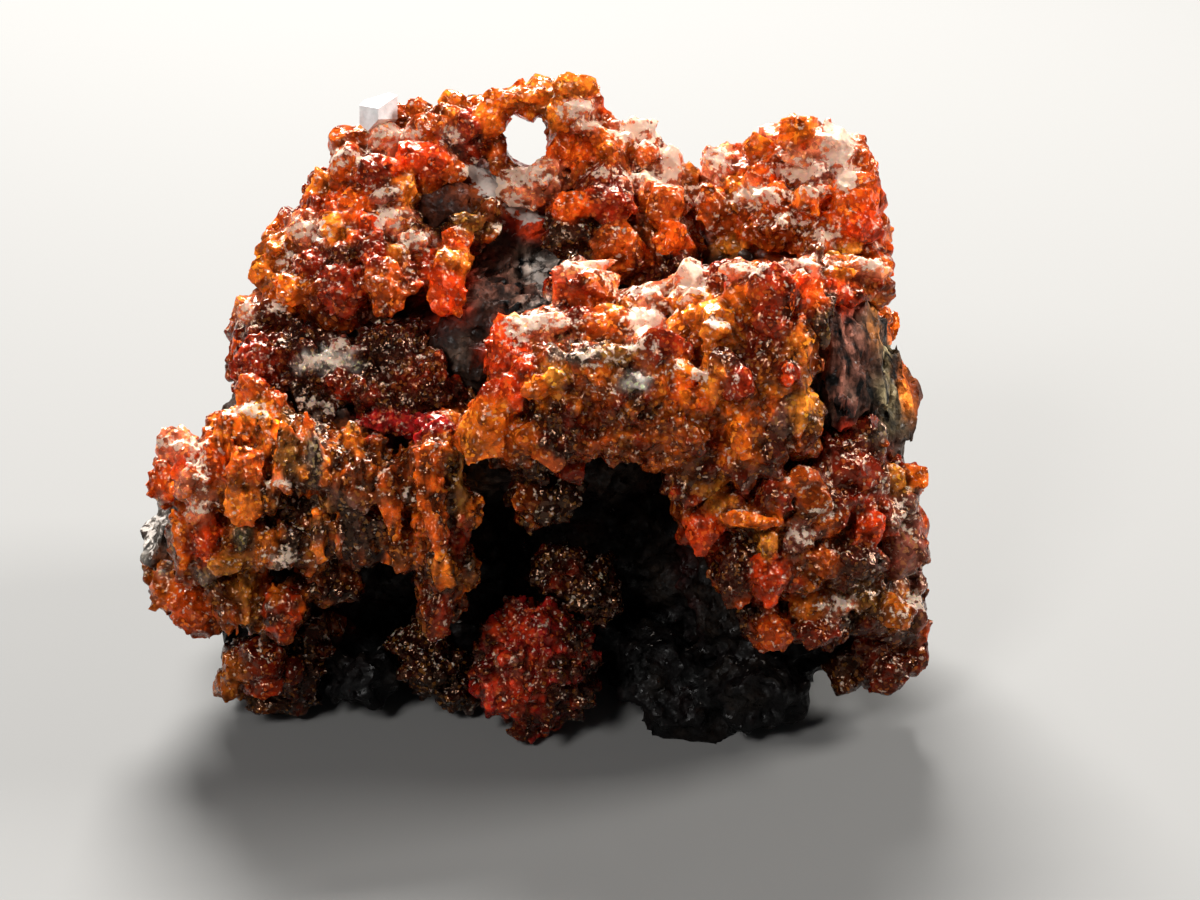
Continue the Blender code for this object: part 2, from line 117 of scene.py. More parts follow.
GLARE_COLOUR = (0.950, 0.730, 0.570, 1.0)
ROCK_GLARE_COLOUR = (0.560, 0.500, 0.450, 1.0)

# Large crystals seen from the display side: across, up, half width, half height, colour
LUMPS = [
    # Crest, left of the window
    (-9.2, 43.8, 1.2, 0.8, "rust"), (-6.5, 44.4, 1.2, 0.8, "amber"), (-2.4, 44.6, 1.6, 0.7, "orange"),
    (-0.2, 44.8, 1.3, 0.6, "amber"), (-3.6, 42.8, 1.3, 1.4, "orange"), (-2.7, 40.2, 0.7, 1.7, "rust"),
    (-5.0, 42.4, 1.1, 1.2, "dark red"), (-6.3, 41.5, 1.1, 0.9, "mauve"), (-8.6, 42.3, 1.4, 1.1, "rust"),
    (-11.8, 41.5, 1.3, 1.3, "pink"), (-9.6, 41.7, 0.9, 0.5, "pink"), (-12.6, 38.8, 1.5, 1.3, "dark red"),
    (-9.0, 39.8, 1.7, 1.3, "red"), (-5.0, 40.4, 1.1, 1.1, "dark red"), (-6.2, 38.8, 1.1, 0.9, "rust"),
    (-10.2, 37.8, 0.8, 1.0, "amber"), (-15.4, 39.0, 1.0, 1.0, "rust"), (-17.0, 38.0, 0.8, 1.0, "amber"),
    # The black crystal at -7.4, 36.0 is painted shade in a deep hollow of the crest
    (-7.4, 36.0, 1.9, 2.0, "black"), (-3.6, 36.8, 1.3, 1.1, "brown"), (-5.4, 34.6, 1.6, 0.8, "olive"),
    (-11.8, 36.8, 1.3, 0.6, "mauve"), (-14.4, 35.4, 1.4, 1.6, "red orange"), (-13.0, 34.4, 0.9, 1.1, "red"),
    (-15.8, 34.2, 1.1, 1.3, "amber"), (-11.4, 35.0, 1.1, 0.9, "pink"), (-18.2, 33.8, 1.6, 1.0, "pink"),
    (-20.6, 32.4, 0.9, 0.9, "amber"), (-21.6, 30.6, 1.0, 1.3, "amber"), (-17.7, 31.4, 1.1, 1.0, "dark red"),
    (-19.4, 29.2, 1.1, 1.3, "orange"), (-15.2, 29.4, 1.8, 1.9, "dark red"),
    (-15.2, 31.8, 1.3, 0.9, "maroon"), (-11.8, 29.6, 1.3, 2.3, "rust"), (-11.0, 32.5, 0.5, 0.5, "straw"),
    (-6.9, 29.8, 1.4, 2.6, "red"), (-6.2, 31.4, 0.9, 1.0, "amber"), (-9.6, 33.2, 1.1, 0.8, "pink"),
    (-12.6, 32.6, 1.0, 1.1, "dark red"), (-21.4, 27.4, 1.5, 0.9, "maroon"), (-22.8, 27.4, 0.8, 0.9, "pink"),
    # Crest, right of the window
    (3.4, 45.6, 1.7, 1.0, "amber"), (2.1, 43.2, 0.9, 1.3, "amber"), (3.6, 43.8, 1.2, 0.8, "pink"),
    (4.4, 42.3, 1.2, 0.5, "pink"), (3.4, 40.4, 1.6, 1.3, "red orange"), (5.9, 41.2, 1.1, 1.1, "orange"),
    (8.4, 42.0, 1.6, 1.1, "pink"), (7.6, 41.4, 0.6, 0.6, "amber"), (9.2, 40.2, 1.0, 1.1, "rust"),
    (11.2, 39.4, 0.9, 1.3, "pink"), (-0.8, 37.0, 1.9, 1.1, "pink"), (0.8, 38.8, 1.3, 0.9, "pink"),
    (3.2, 36.0, 1.9, 1.2, "red orange"), (6.2, 36.4, 1.8, 1.7, "dark red"), (3.0, 33.4, 2.1, 1.5, "black"),
    (7.0, 32.8, 1.9, 1.8, "rust"), (8.6, 38.0, 1.3, 0.6, "pink"), (10.6, 36.4, 1.5, 1.5, "rust"),
    # The maroon crystal at 10.4, 30.6 is a dark red crystal darkened further by painted shade
    (11.0, 33.4, 1.2, 1.3, "red orange"), (10.4, 30.6, 1.6, 1.3, "maroon"), (-0.2, 34.2, 1.3, 0.7, "red"),
    # Tower
    (21.2, 41.8, 1.7, 1.3, "orange"), (24.0, 41.0, 1.5, 1.6, "pink"), (18.2, 40.6, 1.3, 1.1, "orange"),
    (14.8, 39.0, 1.4, 1.5, "pink"), (16.2, 37.4, 0.9, 1.1, "amber"), (18.6, 38.2, 1.7, 1.3, "red orange"),
    (21.4, 39.8, 1.6, 0.7, "pink"), (23.0, 38.8, 0.9, 0.9, "mauve"), (17.4, 36.6, 1.2, 0.7, "pink"),
    (25.8, 36.2, 2.0, 2.4, "red orange"), (26.2, 34.6, 1.2, 1.4, "red"), (26.4, 39.0, 1.0, 1.4, "rust"),
    (14.4, 36.0, 1.2, 1.9, "rust"), (16.0, 32.8, 1.4, 0.7, "straw"), (25.4, 32.4, 1.0, 0.5, "straw"),
    # Ledge, upper edge
    (4.2, 29.3, 2.6, 1.9, "rust"), (3.0, 29.0, 1.2, 1.3, "red orange"), (4.0, 31.1, 2.4, 0.5, "pink"),
    (12.6, 30.2, 1.2, 1.5, "pink"), (9.4, 29.2, 1.6, 0.6, "pink"), (9.2, 26.6, 1.5, 1.1, "pink"),
    (-1.8, 24.4, 1.4, 2.6, "red"), (-1.0, 26.0, 1.2, 0.9, "pink"), (1.2, 26.4, 2.0, 0.9, "pink"),
    (5.4, 26.3, 1.9, 1.0, "rust"), (6.2, 27.6, 1.4, 0.5, "amber"), (13.4, 28.2, 1.8, 0.9, "amber"),
    (16.4, 28.6, 1.2, 1.2, "orange"), (14.8, 30.2, 0.8, 1.2, "dark red"), (16.6, 30.8, 1.4, 0.6, "pink"),
    (19.2, 29.0, 1.9, 2.0, "dark red"), (21.4, 29.0, 0.8, 1.8, "red"), (22.6, 28.6, 0.8, 1.5, "red orange"),
    (24.6, 29.2, 1.0, 1.1, "red"), (21.4, 31.1, 2.0, 0.5, "pink"), (24.6, 30.6, 1.2, 0.6, "amber"),
    (26.8, 31.0, 1.5, 0.7, "pink"),
    # Ledge, front
    (6.6, 24.2, 1.4, 0.7, "olive"), (1.8, 22.2, 1.0, 0.7, "straw"), (0.4, 21.2, 1.0, 0.8, "orange"),
    (8.4, 21.9, 0.8, 0.5, "silver"), (11.8, 22.8, 2.0, 0.8, "orange"), (13.6, 22.4, 0.7, 0.5, "pink"),
    (12.6, 20.4, 1.8, 1.2, "red orange"), (-3.4, 18.8, 1.7, 2.8, "orange"), (-4.6, 17.8, 0.8, 2.4, "amber"),
    (10.4, 25.0, 1.6, 1.0, "dark red"), (14.6, 26.0, 1.2, 0.9, "amber"), (19.4, 26.4, 1.8, 0.9, "dark red"),
    (20.4, 23.0, 0.5, 0.5, "red"), (20.4, 22.0, 0.5, 0.5, "red"), (21.5, 24.8, 0.9, 1.9, "amber"),
    (21.6, 19.6, 0.9, 1.8, "straw"), (16.6, 18.0, 0.9, 2.2, "orange"), (14.3, 23.4, 0.7, 2.0, "amber"),
    (18.6, 19.6, 1.1, 1.2, "rust"), (20.0, 19.0, 1.0, 1.4, "umber"),
    # Right leg
    (25.2, 15.0, 2.6, 1.6, "dark red"), (26.6, 13.0, 1.8, 1.8, "red"), (27.0, 10.4, 1.2, 1.6, "red"),
    (29.8, 9.4, 1.6, 3.2, "mauve"), (21.8, 14.0, 1.2, 1.2, "rust"), (15.0, 12.4, 0.9, 1.4, "straw"),
    (13.8, 10.2, 1.4, 1.9, "red"), (17.2, 10.8, 2.2, 0.7, "orange"), (19.0, 9.0, 0.7, 1.2, "straw"),
    (21.4, 9.4, 1.1, 0.9, "mauve"), (23.8, 10.8, 1.3, 1.2, "rust"), (23.2, 7.4, 1.8, 1.2, "rust"),
    (19.0, 6.2, 1.4, 1.9, "red"), (16.4, 6.4, 1.3, 2.4, "maroon"), (26.4, 7.4, 1.3, 1.2, "maroon"),
    (22.2, 4.0, 1.6, 1.0, "amber"), (24.4, 3.9, 1.1, 0.7, "pink"), (26.6, 4.4, 1.0, 1.0, "olive"),
    (29.2, 3.4, 1.3, 1.3, "amber"), (19.4, 1.8, 1.2, 1.4, "red orange"), (23.0, 1.8, 1.5, 1.2, "dark red"),
    (26.8, 0.6, 1.5, 1.2, "dark red"), (28.6, -2.2, 1.6, 0.9, "dark red"),
    (30.8, -0.2, 0.9, 1.2, "dark red"), (30.8, 3.2, 0.8, 1.3, "mauve"), (31.2, 10.2, 0.6, 1.4, "red orange"),
    (30.8, 14.2, 0.9, 1.1, "orange"), (29.2, 14.2, 0.7, 1.2, "straw"), (28.2, 13.6, 0.5, 0.8, "mauve"),
    # Left lobe
    (-28.6, 16.6, 2.1, 1.2, "pink"), (-27.6, 15.4, 1.3, 1.1, "red"), (-29.8, 13.8, 1.3, 1.3, "red orange"),
    (-27.6, 13.9, 0.9, 0.9, "pink"), (-24.0, 17.8, 2.1, 1.5, "orange"), (-22.4, 19.4, 1.2, 0.6, "straw"),
    (-25.5, 15.6, 1.2, 1.3, "red orange"), (-21.0, 17.2, 0.9, 2.0, "amber"), (-23.0, 15.0, 1.7, 1.2, "rust"),
    (-19.8, 16.0, 1.0, 1.9, "olive"), (-20.2, 13.9, 0.8, 0.4, "pink"), (-17.4, 16.4, 0.7, 2.2, "grey"),
    (-23.2, 12.4, 1.9, 1.6, "amber"), (-26.6, 11.5, 1.3, 0.8, "pink"), (-26.2, 9.2, 1.3, 1.4, "red"),
    (-28.2, 9.4, 0.9, 1.7, "orange"), (-23.0, 9.6, 0.9, 0.9, "green grey"), (-21.4, 8.8, 1.0, 1.2, "amber"),
    (-19.4, 11.4, 1.4, 2.0, "umber"), (-20.2, 7.6, 1.4, 0.6, "grey"), (-24.6, 7.2, 1.8, 0.6, "straw"),
    (-26.2, 6.4, 0.9, 0.7, "grey"), (-29.4, 6.8, 1.2, 0.7, "amber"), (-29.6, 5.2, 1.4, 1.2, "orange"),
    (-27.4, 3.8, 2.1, 1.5, "red orange"), (-25.2, 5.2, 1.4, 0.9, "brown"), (-23.0, 4.8, 0.7, 1.9, "straw"),
    (-20.6, 4.7, 0.8, 0.7, "amber"), (-20.2, 3.2, 1.8, 1.6, "red"), (-14.6, 17.2, 1.2, 1.0, "amber"),
    (-17.2, 9.2, 0.7, 1.5, "amber"), (-15.4, 9.8, 0.5, 1.6, "brown"), (-11.4, 12.2, 1.1, 2.3, "rust"),
    (-8.0, 12.0, 1.3, 3.0, "rust"), (-6.2, 14.0, 0.8, 2.0, "olive"), (-6.0, 9.0, 1.0, 1.3, "dark red"),
    (-7.0, 6.8, 1.4, 1.0, "amber"), (-7.4, 3.6, 1.4, 1.8, "dark red"), (-15.8, 2.4, 0.9, 1.2, "rust"),
    # Left foot
    (-24.2, -1.8, 0.8, 1.9, "amber"), (-21.8, -0.6, 1.9, 1.8, "dark red"), (-21.4, -2.6, 1.4, 0.9, "red"),
    (-21.2, -4.0, 1.7, 0.8, "brown"),
    # Flank
    (-22.2, 23.4, 1.9, 2.0, "dark red"), (-23.4, 24.8, 0.9, 0.8, "red orange"),
    (-22.8, 21.4, 1.3, 0.8, "rust"), (-16.6, 23.5, 1.9, 0.6, "silver"), (-15.4, 24.6, 0.9, 0.7, "mauve"),
    (-10.6, 18.4, 3.4, 0.8, "ruby"),
    # Rock between crest and ledge, and at the right edge
    (27.2, 26.0, 0.3, 1.6, "olive"), (23.2, 26.4, 0.6, 1.7, "rock"), (24.4, 25.0, 0.5, 2.2, "umber"),
    (25.6, 24.2, 0.6, 2.3, "rock"), (24.2, 22.2, 0.7, 1.5, "umber"), (26.4, 26.6, 0.4, 1.5, "rock"),
    (28.2, 23.2, 0.4, 1.5, "green grey"), (28.6, 19.6, 0.4, 1.6, "green grey"),
    (28.0, 17.8, 0.4, 1.1, "grey"), (-10.8, 43.3, 0.9, 0.9, "rust"), (29.8, 20.8, 0.4, 1.9, "straw"),
    (30.4, 17.6, 0.5, 1.4, "rust"), (28.8, 26.2, 0.6, 1.4, "orange"), (30.2, 23.6, 0.5, 1.2, "rust"),
]
LUMP_FLATNESS = 0.75
LUMP_SINK = 0.30

# How far a large crystal lends its colour, in its own half sizes, and how far round a surface still shows
LUMP_REACH = 1.45
SHOWN_TURN = -0.45

# Painted glare, whitish highlights on the upper sides of crystals: across, up, half width, half height,
# strength
GLARE_ZONES = [
    (-11.8, 41.6, 1.6, 1.2, 1.0), (-9.6, 41.8, 1.5, 0.7, 1.0), (-6.4, 41.6, 1.2, 0.8, 1.0),
    (-15.2, 39.8, 2.2, 0.8, 1.0), (-11.8, 36.9, 1.8, 0.7, 1.0), (-11.6, 35.2, 1.1, 1.2, 1.0),
    (-9.4, 33.2, 1.5, 1.0, 1.0), (-18.2, 33.9, 1.9, 1.2, 1.0), (-19.8, 31.6, 1.0, 0.8, 1.0),
    (-22.8, 27.2, 0.9, 1.2, 1.0), (-20.6, 27.9, 0.9, 0.6, 1.0), (-12.6, 27.2, 1.1, 0.6, 1.5),
    (-4.4, 38.8, 1.0, 1.0, 1.7), (-3.0, 37.5, 1.2, 0.9, 1.9), (-1.6, 36.2, 1.2, 0.8, 1.9),
    (-0.2, 35.1, 1.1, 0.6, 1.7), (-0.4, 38.4, 2.0, 0.8, 1.5), (-2.6, 34.2, 1.7, 0.7, 1.0),
    (3.8, 43.6, 1.6, 0.9, 1.3), (4.4, 42.5, 1.7, 0.7, 1.0), (8.6, 42.0, 2.2, 1.1, 1.5),
    (11.0, 39.6, 1.0, 1.9, 1.5), (8.8, 38.2, 1.9, 0.8, 1.0), (5.4, 38.6, 1.7, 0.5, 1.0),
    (12.4, 34.4, 0.9, 0.7, 1.0), (12.8, 36.6, 0.7, 1.3, 1.0), (24.4, 41.0, 1.3, 1.7, 1.8),
    (25.0, 38.8, 0.9, 1.7, 1.8), (21.2, 38.8, 2.2, 0.8, 1.6), (18.2, 36.6, 2.0, 0.9, 1.5),
    (22.6, 37.2, 1.1, 0.7, 1.0), (20.8, 34.8, 2.0, 0.8, 1.0), (23.4, 33.6, 1.7, 0.9, 1.0),
    (14.6, 33.8, 1.0, 1.3, 1.0), (15.0, 39.6, 1.2, 1.0, 1.0), (4.0, 31.3, 2.8, 0.4, 1.0),
    (12.6, 30.0, 1.1, 1.8, 1.6), (9.2, 29.2, 2.1, 0.6, 1.0), (9.0, 26.6, 1.4, 1.1, 1.6),
    (11.0, 27.6, 1.8, 0.6, 1.0), (0.8, 26.6, 2.8, 1.0, 1.0), (-1.2, 25.8, 1.0, 1.0, 1.0),
    (16.6, 30.9, 2.0, 0.7, 1.0), (21.4, 31.2, 2.8, 0.6, 1.0), (27.0, 31.2, 1.7, 0.8, 1.0),
    (11.0, 23.2, 1.1, 0.6, 1.0), (13.6, 22.4, 0.9, 0.6, 1.0), (14.8, 26.6, 0.9, 0.6, 1.0),
    (8.6, 24.6, 1.5, 0.9, 1.0), (5.0, 23.8, 2.8, 0.7, 1.0), (-28.0, 16.8, 2.6, 0.9, 0.8),
    (-26.8, 16.0, 0.8, 1.7, 1.0), (-26.6, 14.4, 0.6, 1.6, 1.0), (-26.6, 11.8, 1.5, 0.7, 1.0),
    (-22.6, 19.6, 2.0, 0.6, 1.0), (-20.2, 13.8, 1.1, 0.5, 1.0), (-20.0, 7.8, 1.8, 0.9, 1.0),
    (-10.0, 12.4, 0.5, 1.0, 1.0), (-16.6, 23.4, 2.6, 0.7, 1.0), (-15.6, 24.8, 1.0, 0.6, 1.0),
    (-18.0, 20.2, 1.2, 0.7, 1.0), (-16.4, 19.8, 1.1, 0.7, 1.0), (24.4, 4.0, 1.5, 0.9, 1.0),
    (26.4, 5.0, 1.4, 0.7, 0.7), (29.4, 3.4, 1.4, 1.0, 0.6), (29.8, 11.0, 1.5, 1.5, 0.7),
    (28.2, 13.6, 0.7, 1.0, 0.5), (23.6, 11.6, 1.2, 0.7, 1.0), (21.4, 9.6, 1.3, 0.9, 1.0),
    (30.8, 4.2, 1.0, 1.0, 1.0), (0.6, 30.6, 0.9, 2.0, 0.9), (-30.4, 10.0, 1.6, 2.4, 1.0),
]
# How far in depth from the first surface met the painted glare zones and the tints reach
GLARE_DEPTH = 2.5
TINT_DEPTH = 6.0

# Places where the crystals are streaked up and down: across, up, half width, half height
STREAKED = [
    (-15.6, 13.0, 9.5, 7.5), (-6.6, 11.0, 3.4, 9.0), (21.6, 24.0, 2.6, 7.0), (26.4, 23.0, 4.4, 7.0),
    (-0.6, 29.6, 3.2, 3.2), (-22.0, 17.0, 4.0, 3.6),
]

# Colour without a large crystal: across, up, half width, half height, colour, strength
TINTS = [
    (3.4, -1.6, 1.7, 4.4, "maroon", 0.9), (-4.0, 1.2, 1.0, 2.4, "maroon", 0.7),
    (-1.0, 1.0, 2.0, 2.0, "bright red", 0.7), (-1.8, -3.2, 1.9, 1.4, "bright red", 0.95),
    (-1.2, -0.9, 2.4, 0.6, "mauve", 0.5), (-20.0, -1.0, 3.0, 4.0, "maroon", 0.5),
    # The black tints at 0.6, 17.2 and 0.8, 12.4 are painted shade in the hollow under the ledge
    (-12.0, 26.0, 6.0, 1.6, "maroon", 0.6), (0.6, 17.2, 2.6, 3.0, "black", 0.75),
    (0.8, 12.4, 3.6, 2.6, "black", 0.95), (4.6, 20.6, 2.6, 1.5, "maroon", 0.7),
    (9.2, 18.8, 3.2, 1.6, "amber", 0.45), (9.0, 17.2, 4.4, 2.2, "rust", 0.5),
    (8.0, 15.4, 4.0, 1.0, "brown", 0.5), (-13.4, 5.2, 4.4, 2.2, "maroon", 0.8),
    (-12.8, 14.8, 3.2, 2.0, "brown", 0.8), (-15.4, 10.0, 3.6, 2.6, "umber", 0.8),
    (-19.4, 11.4, 1.9, 2.4, "black", 0.7), (18.2, 23.8, 2.8, 2.2, "dark red", 0.8),
    (18.0, 22.6, 1.8, 1.4, "maroon", 0.7), (20.6, 33.6, 3.4, 2.0, "rust", 0.5),
    (3.4, 24.0, 2.4, 0.9, "grey", 0.6), (-30.4, 10.0, 1.8, 2.8, "silver", 0.55),
    (24.6, 24.4, 2.2, 3.6, "umber", 0.9), (28.4, 20.6, 1.0, 3.4, "green grey", 0.6),
    (25.8, 14.4, 2.8, 3.4, "dark red", 0.95), (4.2, 29.0, 2.6, 1.8, "dark red", 0.5),
    (30.2, 22.4, 0.9, 3.0, "rust", 0.5), (31.0, 15.6, 1.2, 1.6, "orange", 0.8),
    (-4.6, 14.4, 1.4, 3.4, "olive", 0.5), (2.0, 20.8, 2.0, 1.0, "amber", 0.4),
    (12.0, 18.8, 2.2, 2.6, "orange", 0.4), (0.4, 29.8, 1.2, 2.4, "silver", 0.6),
    (-3.0, 29.0, 2.2, 2.4, "umber", 0.7),
]

# Places dressed with many fine glinting crystals: across, up, half width, half height
DRUSE = [
    (-13.6, 30.0, 5.0, 4.5), (20.6, 33.6, 4.0, 2.4), (7.0, 19.0, 7.0, 4.0), (3.0, 24.0, 6.0, 1.6),
    (22.0, 6.0, 7.0, 5.0), (-30.4, 10.0, 2.0, 2.8),
]

# What a crystal's colour is drawn from where no large crystal lends it, from dark to bright, with shares
PALETTES = {
    "zincite_crest": [
        ("maroon", 2), ("dark red", 4), ("rust", 5), ("red orange", 3), ("orange", 3), ("amber", 1),
    ],
    "zincite_flank": [("black", 2), ("maroon", 6), ("dark red", 3), ("brown", 1)],
    "zincite_left_lobe": [("brown", 3), ("rust", 4), ("orange", 3), ("amber", 3), ("olive", 2)],
    "zincite_ledge": [("maroon", 3), ("brown", 3), ("dark red", 4), ("rust", 5), ("orange", 2), ("amber", 1)],
    "zincite_right_leg": [("maroon", 3), ("dark red", 6), ("brown", 2), ("rust", 3), ("red orange", 1)],
    "zincite_left_foot": [("black", 1), ("maroon", 3), ("dark red", 3), ("brown", 2)],
    "zincite_ball": [("maroon", 2), ("dark red", 4), ("ruby", 5), ("red", 2)],
    "zincite_tower": [("dark red", 1), ("rust", 5), ("red orange", 3), ("orange", 3), ("pink", 1)],
    "zincite_knob_left": [("black", 3), ("maroon", 5), ("brown", 2)],
    "zincite_knob_right": [("black", 2), ("maroon", 5), ("dark red", 2)],
    "zincite_back_crust": [("maroon", 2), ("dark red", 4), ("rust", 5), ("red orange", 3), ("orange", 2)],
    "zincite_back_corner": [("maroon", 2), ("dark red", 3), ("rust", 5), ("orange", 3), ("amber", 1)],
    "matrix": [("black", 3), ("rock", 6), ("grey", 2), ("maroon", 2)],
}

# A material slot name, which is not used, most triangles, and how much longer than wide the crystals are
MASSES = {
    "zincite_ball": ("zincite_ruby", 45000, 1.2),
    "zincite_crest": ("zincite_orange", 140000, 1.1),
    "zincite_flank": ("zincite_maroon", 50000, 1.1),
    "zincite_knob_left": ("zincite_maroon", 16000, 1.1),
    "zincite_knob_right": ("zincite_maroon", 16000, 1.1),
    "zincite_left_foot": ("zincite_brown", 16000, 1.1),
    "zincite_left_lobe": ("zincite_amber", 120000, 2.2),
    "zincite_ledge": ("zincite_brown", 130000, 1.2),
    "zincite_right_leg": ("zincite_brown", 90000, 1.1),
    "zincite_tower": ("zincite_orange", 70000, 1.1),
    "zincite_back_crust": ("zincite_orange", 110000, 1.1),
    "zincite_back_corner": ("zincite_orange", 40000, 1.1),
}
UPRIGHT = ("zincite_left_lobe",)
DRUSY = ("zincite_ball", "zincite_flank", "zincite_knob_left", "zincite_knob_right")

# Crystal layers: least and greatest radius, spacing, and how deep the centres lie in radii
COARSE = (0.55, 1.55, 1.30, 0.55)
FINE = (0.20, 0.42, 0.55, 0.25)

# How far each layer stays from the other masses, the window and the chip
COARSE_CLEAR = (0.8, 1.0, 1.8)
FINE_CLEAR = (0.4, 0.4, 0.3)

# How far the crystals of each layer lean at random, and how far upright ones lean outward
COARSE_LEAN = (0.3, 0.35)
FINE_LEAN = (0.35, 0.3)
FINE_LENGTHENING = 2.4
FINE_SHARE = 0.28
CLEAR_TIP = 0.6
DRUSY_COARSE = (0.45, 0.80, 0.85)
DRAWN_IN = 0.55
VOXEL, DRUSY_VOXEL = 0.16, 0.15

# Unevenness of the crystals: height, and how often it comes in a millimetre
SWELL_HEIGHT, SWELL_RATE = 0.13, 1.1
PIT_DEPTH, PIT_RATE = 0.10, 2.3

# Colours: rounds of blending, and the painted shade deep between the crystals and painted light at their tips
COLOUR_BLUR = 4
FULL_LIGHT_HEIGHT = 0.75
DEEP_SHADE, TIP_SHADE = 0.42, 1.15
# Masses painted brighter all over: the ball, against its painted shade low down
LIT_MASSES = {"zincite_ball": 2.0}
# Painted shade low down and painted light high up, partly also the darker crystals of the base: heights in mm
# where the change starts and ends, then the least and most
DARK_BELOW, FULL_ABOVE, LOW_SHADE, HIGH_SHADE = 2.0, 34.0, 0.40, 1.25
# The rock's extra painted shade near the ground: heights in mm where it starts and ends, and the least
ROCK_DARK_BELOW, ROCK_FULL_ABOVE, ROCK_LOW_SHADE = 5.0, 20.0, 0.22

# The window through the crest stays open: across, up, half width, half height
WINDOW = (-0.5, 41.5, 1.3, 2.0)

# The white chip stays clear: across, up, half width, half height
CHIP = (-12.2, 43.8, 1.2, 1.0)


def to_display(points):
    """Where points of the frame appear in the display plane: across and up."""
    rays = np.asarray(points) / MM - EYE
    share = SIGHT_DISTANCE / (rays @ FORWARD)
    return SIGHT_ACROSS + (rays @ ACROSS) * share, SIGHT_UP + (rays @ UPWARD) * share


def line_of_sight(across, up):
    """The direction from the eye to a point of the display plane."""
    ray = FORWARD * SIGHT_DISTANCE + ACROSS * (across - SIGHT_ACROSS) + UPWARD * (up - SIGHT_UP)
    return Vector(ray / np.linalg.norm(ray))


def how_far(zone, across, up, margin=0.0):
    """How far display-plane points are from the middle of a zone, with 1 at its rim."""
    zone_across, zone_up, half_width, half_height = zone[:4]
    return np.hypot((across - zone_across) / (half_width + margin), (up - zone_up) / (half_height + margin))


def within(zone, across, up, margin=0.0):
    """True where a display-plane point lies in a zone, or within `margin` of it."""
    return how_far(zone, across, up, margin) < 1


def zone_share(zones, across, up):
    """1 where display-plane points lie in one of the zones, fading to 0 a little outside."""
    share = np.zeros(len(across))
    for zone in zones:
        share = np.maximum(share, np.clip(2.0 - 1.6 * how_far(zone, across, up), 0, 1))
    return share


def in_druse(points):
    """True where points appear in a place dressed with many fine crystals."""
    across, up = to_display(points)
    return np.any([within(zone, across, up) for zone in DRUSE], axis=0)


def crystal_shape(seed, faces):
    """A convex crystal of about unit radius with flat faces, as corner and triangle arrays."""
    rng = random.Random(seed)
    shape = bmesh.new()
    bmesh.ops.create_cube(shape, size=4)
    for i in range(faces):
        height = 1 - 2 * (i + 0.5) / faces
        flat = math.sqrt(1 - height * height)
        angle = GOLDEN_ANGLE * i
        even = Vector((flat * math.cos(angle), flat * math.sin(angle), height))
        normal = (even + Vector([rng.uniform(-0.25, 0.25) for _ in range(3)])).normalized()
        cut = bmesh.ops.bisect_plane(
            shape,
            geom=shape.verts[:] + shape.edges[:] + shape.faces[:],
            plane_co=normal * rng.uniform(0.76, 0.96),
            plane_no=normal,
            clear_outer=True,
        )
        rim = [part for part in cut["geom_cut"] if isinstance(part, bmesh.types.BMEdge)]
        if rim:
            bmesh.ops.edgeloop_fill(shape, edges=rim)
    bmesh.ops.remove_doubles(shape, verts=shape.verts[:], dist=0.01)
    bmesh.ops.triangulate(shape, faces=shape.faces[:])
    bmesh.ops.recalc_face_normals(shape, faces=shape.faces[:])
    corners = np.array([vertex.co for vertex in shape.verts])
    triangles = np.array([[vertex.index for vertex in face.verts] for face in shape.faces])
    shape.free()
    return corners, triangles


def rows(items, key, columns, kind=float):
    """One property of many mesh parts, as an array with a row for each part."""
    values = np.empty(len(items) * columns, dtype=kind)
    items.foreach_get(key, values)
    return values.reshape(-1, columns)


def move_corners(mesh, corners):
    """Moves the corners of a mesh, and keeps them above the ground."""
    corners[:, 2] = np.maximum(corners[:, 2], 0.0)
    mesh.vertices.foreach_set("co", corners.ravel())
    mesh.update()


def mesh_arrays(mesh):
    """Corners, triangles, unit normals and areas of a mesh."""
    mesh.calc_loop_triangles()
    corners = rows(mesh.vertices, "co", 3)
    triangles = rows(mesh.loop_triangles, "vertices", 3, np.int32)
    first, second, third = (corners[triangles[:, i]] for i in range(3))
    normals = np.cross(second - first, third - first)
    lengths = np.linalg.norm(normals, axis=1)
    normals /= np.maximum(lengths, 1e-20)[:, None]
    return corners, triangles, normals, lengths / 2


def search_tree(mesh):
    """A mesh's triangles, sorted for rays and nearest places."""
    corners, triangles, _, _ = mesh_arrays(mesh)
    return BVHTree.FromPolygons(corners.tolist(), triangles.tolist())


def surface_points(mesh, spacing, rng):
    """Points spread over a mesh, no two closer than `spacing` metres, with their normals."""
    corners, triangles, normals, areas = mesh_arrays(mesh)
    wanted = int(areas.sum() / spacing**2 * 3)
    chosen = rng.choice(len(triangles), wanted, p=areas / areas.sum())
    side, share = rng.random((2, wanted))
    side = np.sqrt(side)
    first, second, third = (corners[triangles[chosen, i]] for i in range(3))
    points = (1 - side)[:, None] * first
    points = points + (side * (1 - share))[:, None] * second + (side * share)[:, None] * third
    taken, kept = {}, []
    cells = np.floor(points / spacing).astype(int)
    for i, cell in enumerate(map(tuple, cells)):
        x, y, z = cell
        near = [
            j
            for a in (x - 1, x, x + 1)
            for b in (y - 1, y, y + 1)
            for c in (z - 1, z, z + 1)
            for j in taken.get((a, b, c), ())
        ]
        if near and (np.square(points[near] - points[i]).sum(1)).min() < spacing**2:
            continue
        taken.setdefault(cell, []).append(i)
        kept.append(i)
    return points[kept], normals[chosen[kept]]


def open_to_air(points, normals, others, clear):
    """True where nothing of the other masses lies within `clear` metres in front of the surface."""
    result = np.ones(len(points), dtype=bool)
    for i, (point, normal) in enumerate(zip(points, normals)):
        start = Vector(point + normal * 0.02 * MM)
        for tree in others:
            if tree.ray_cast(start, Vector(normal), clear)[0] is not None:
                result[i] = False
                break
    return result


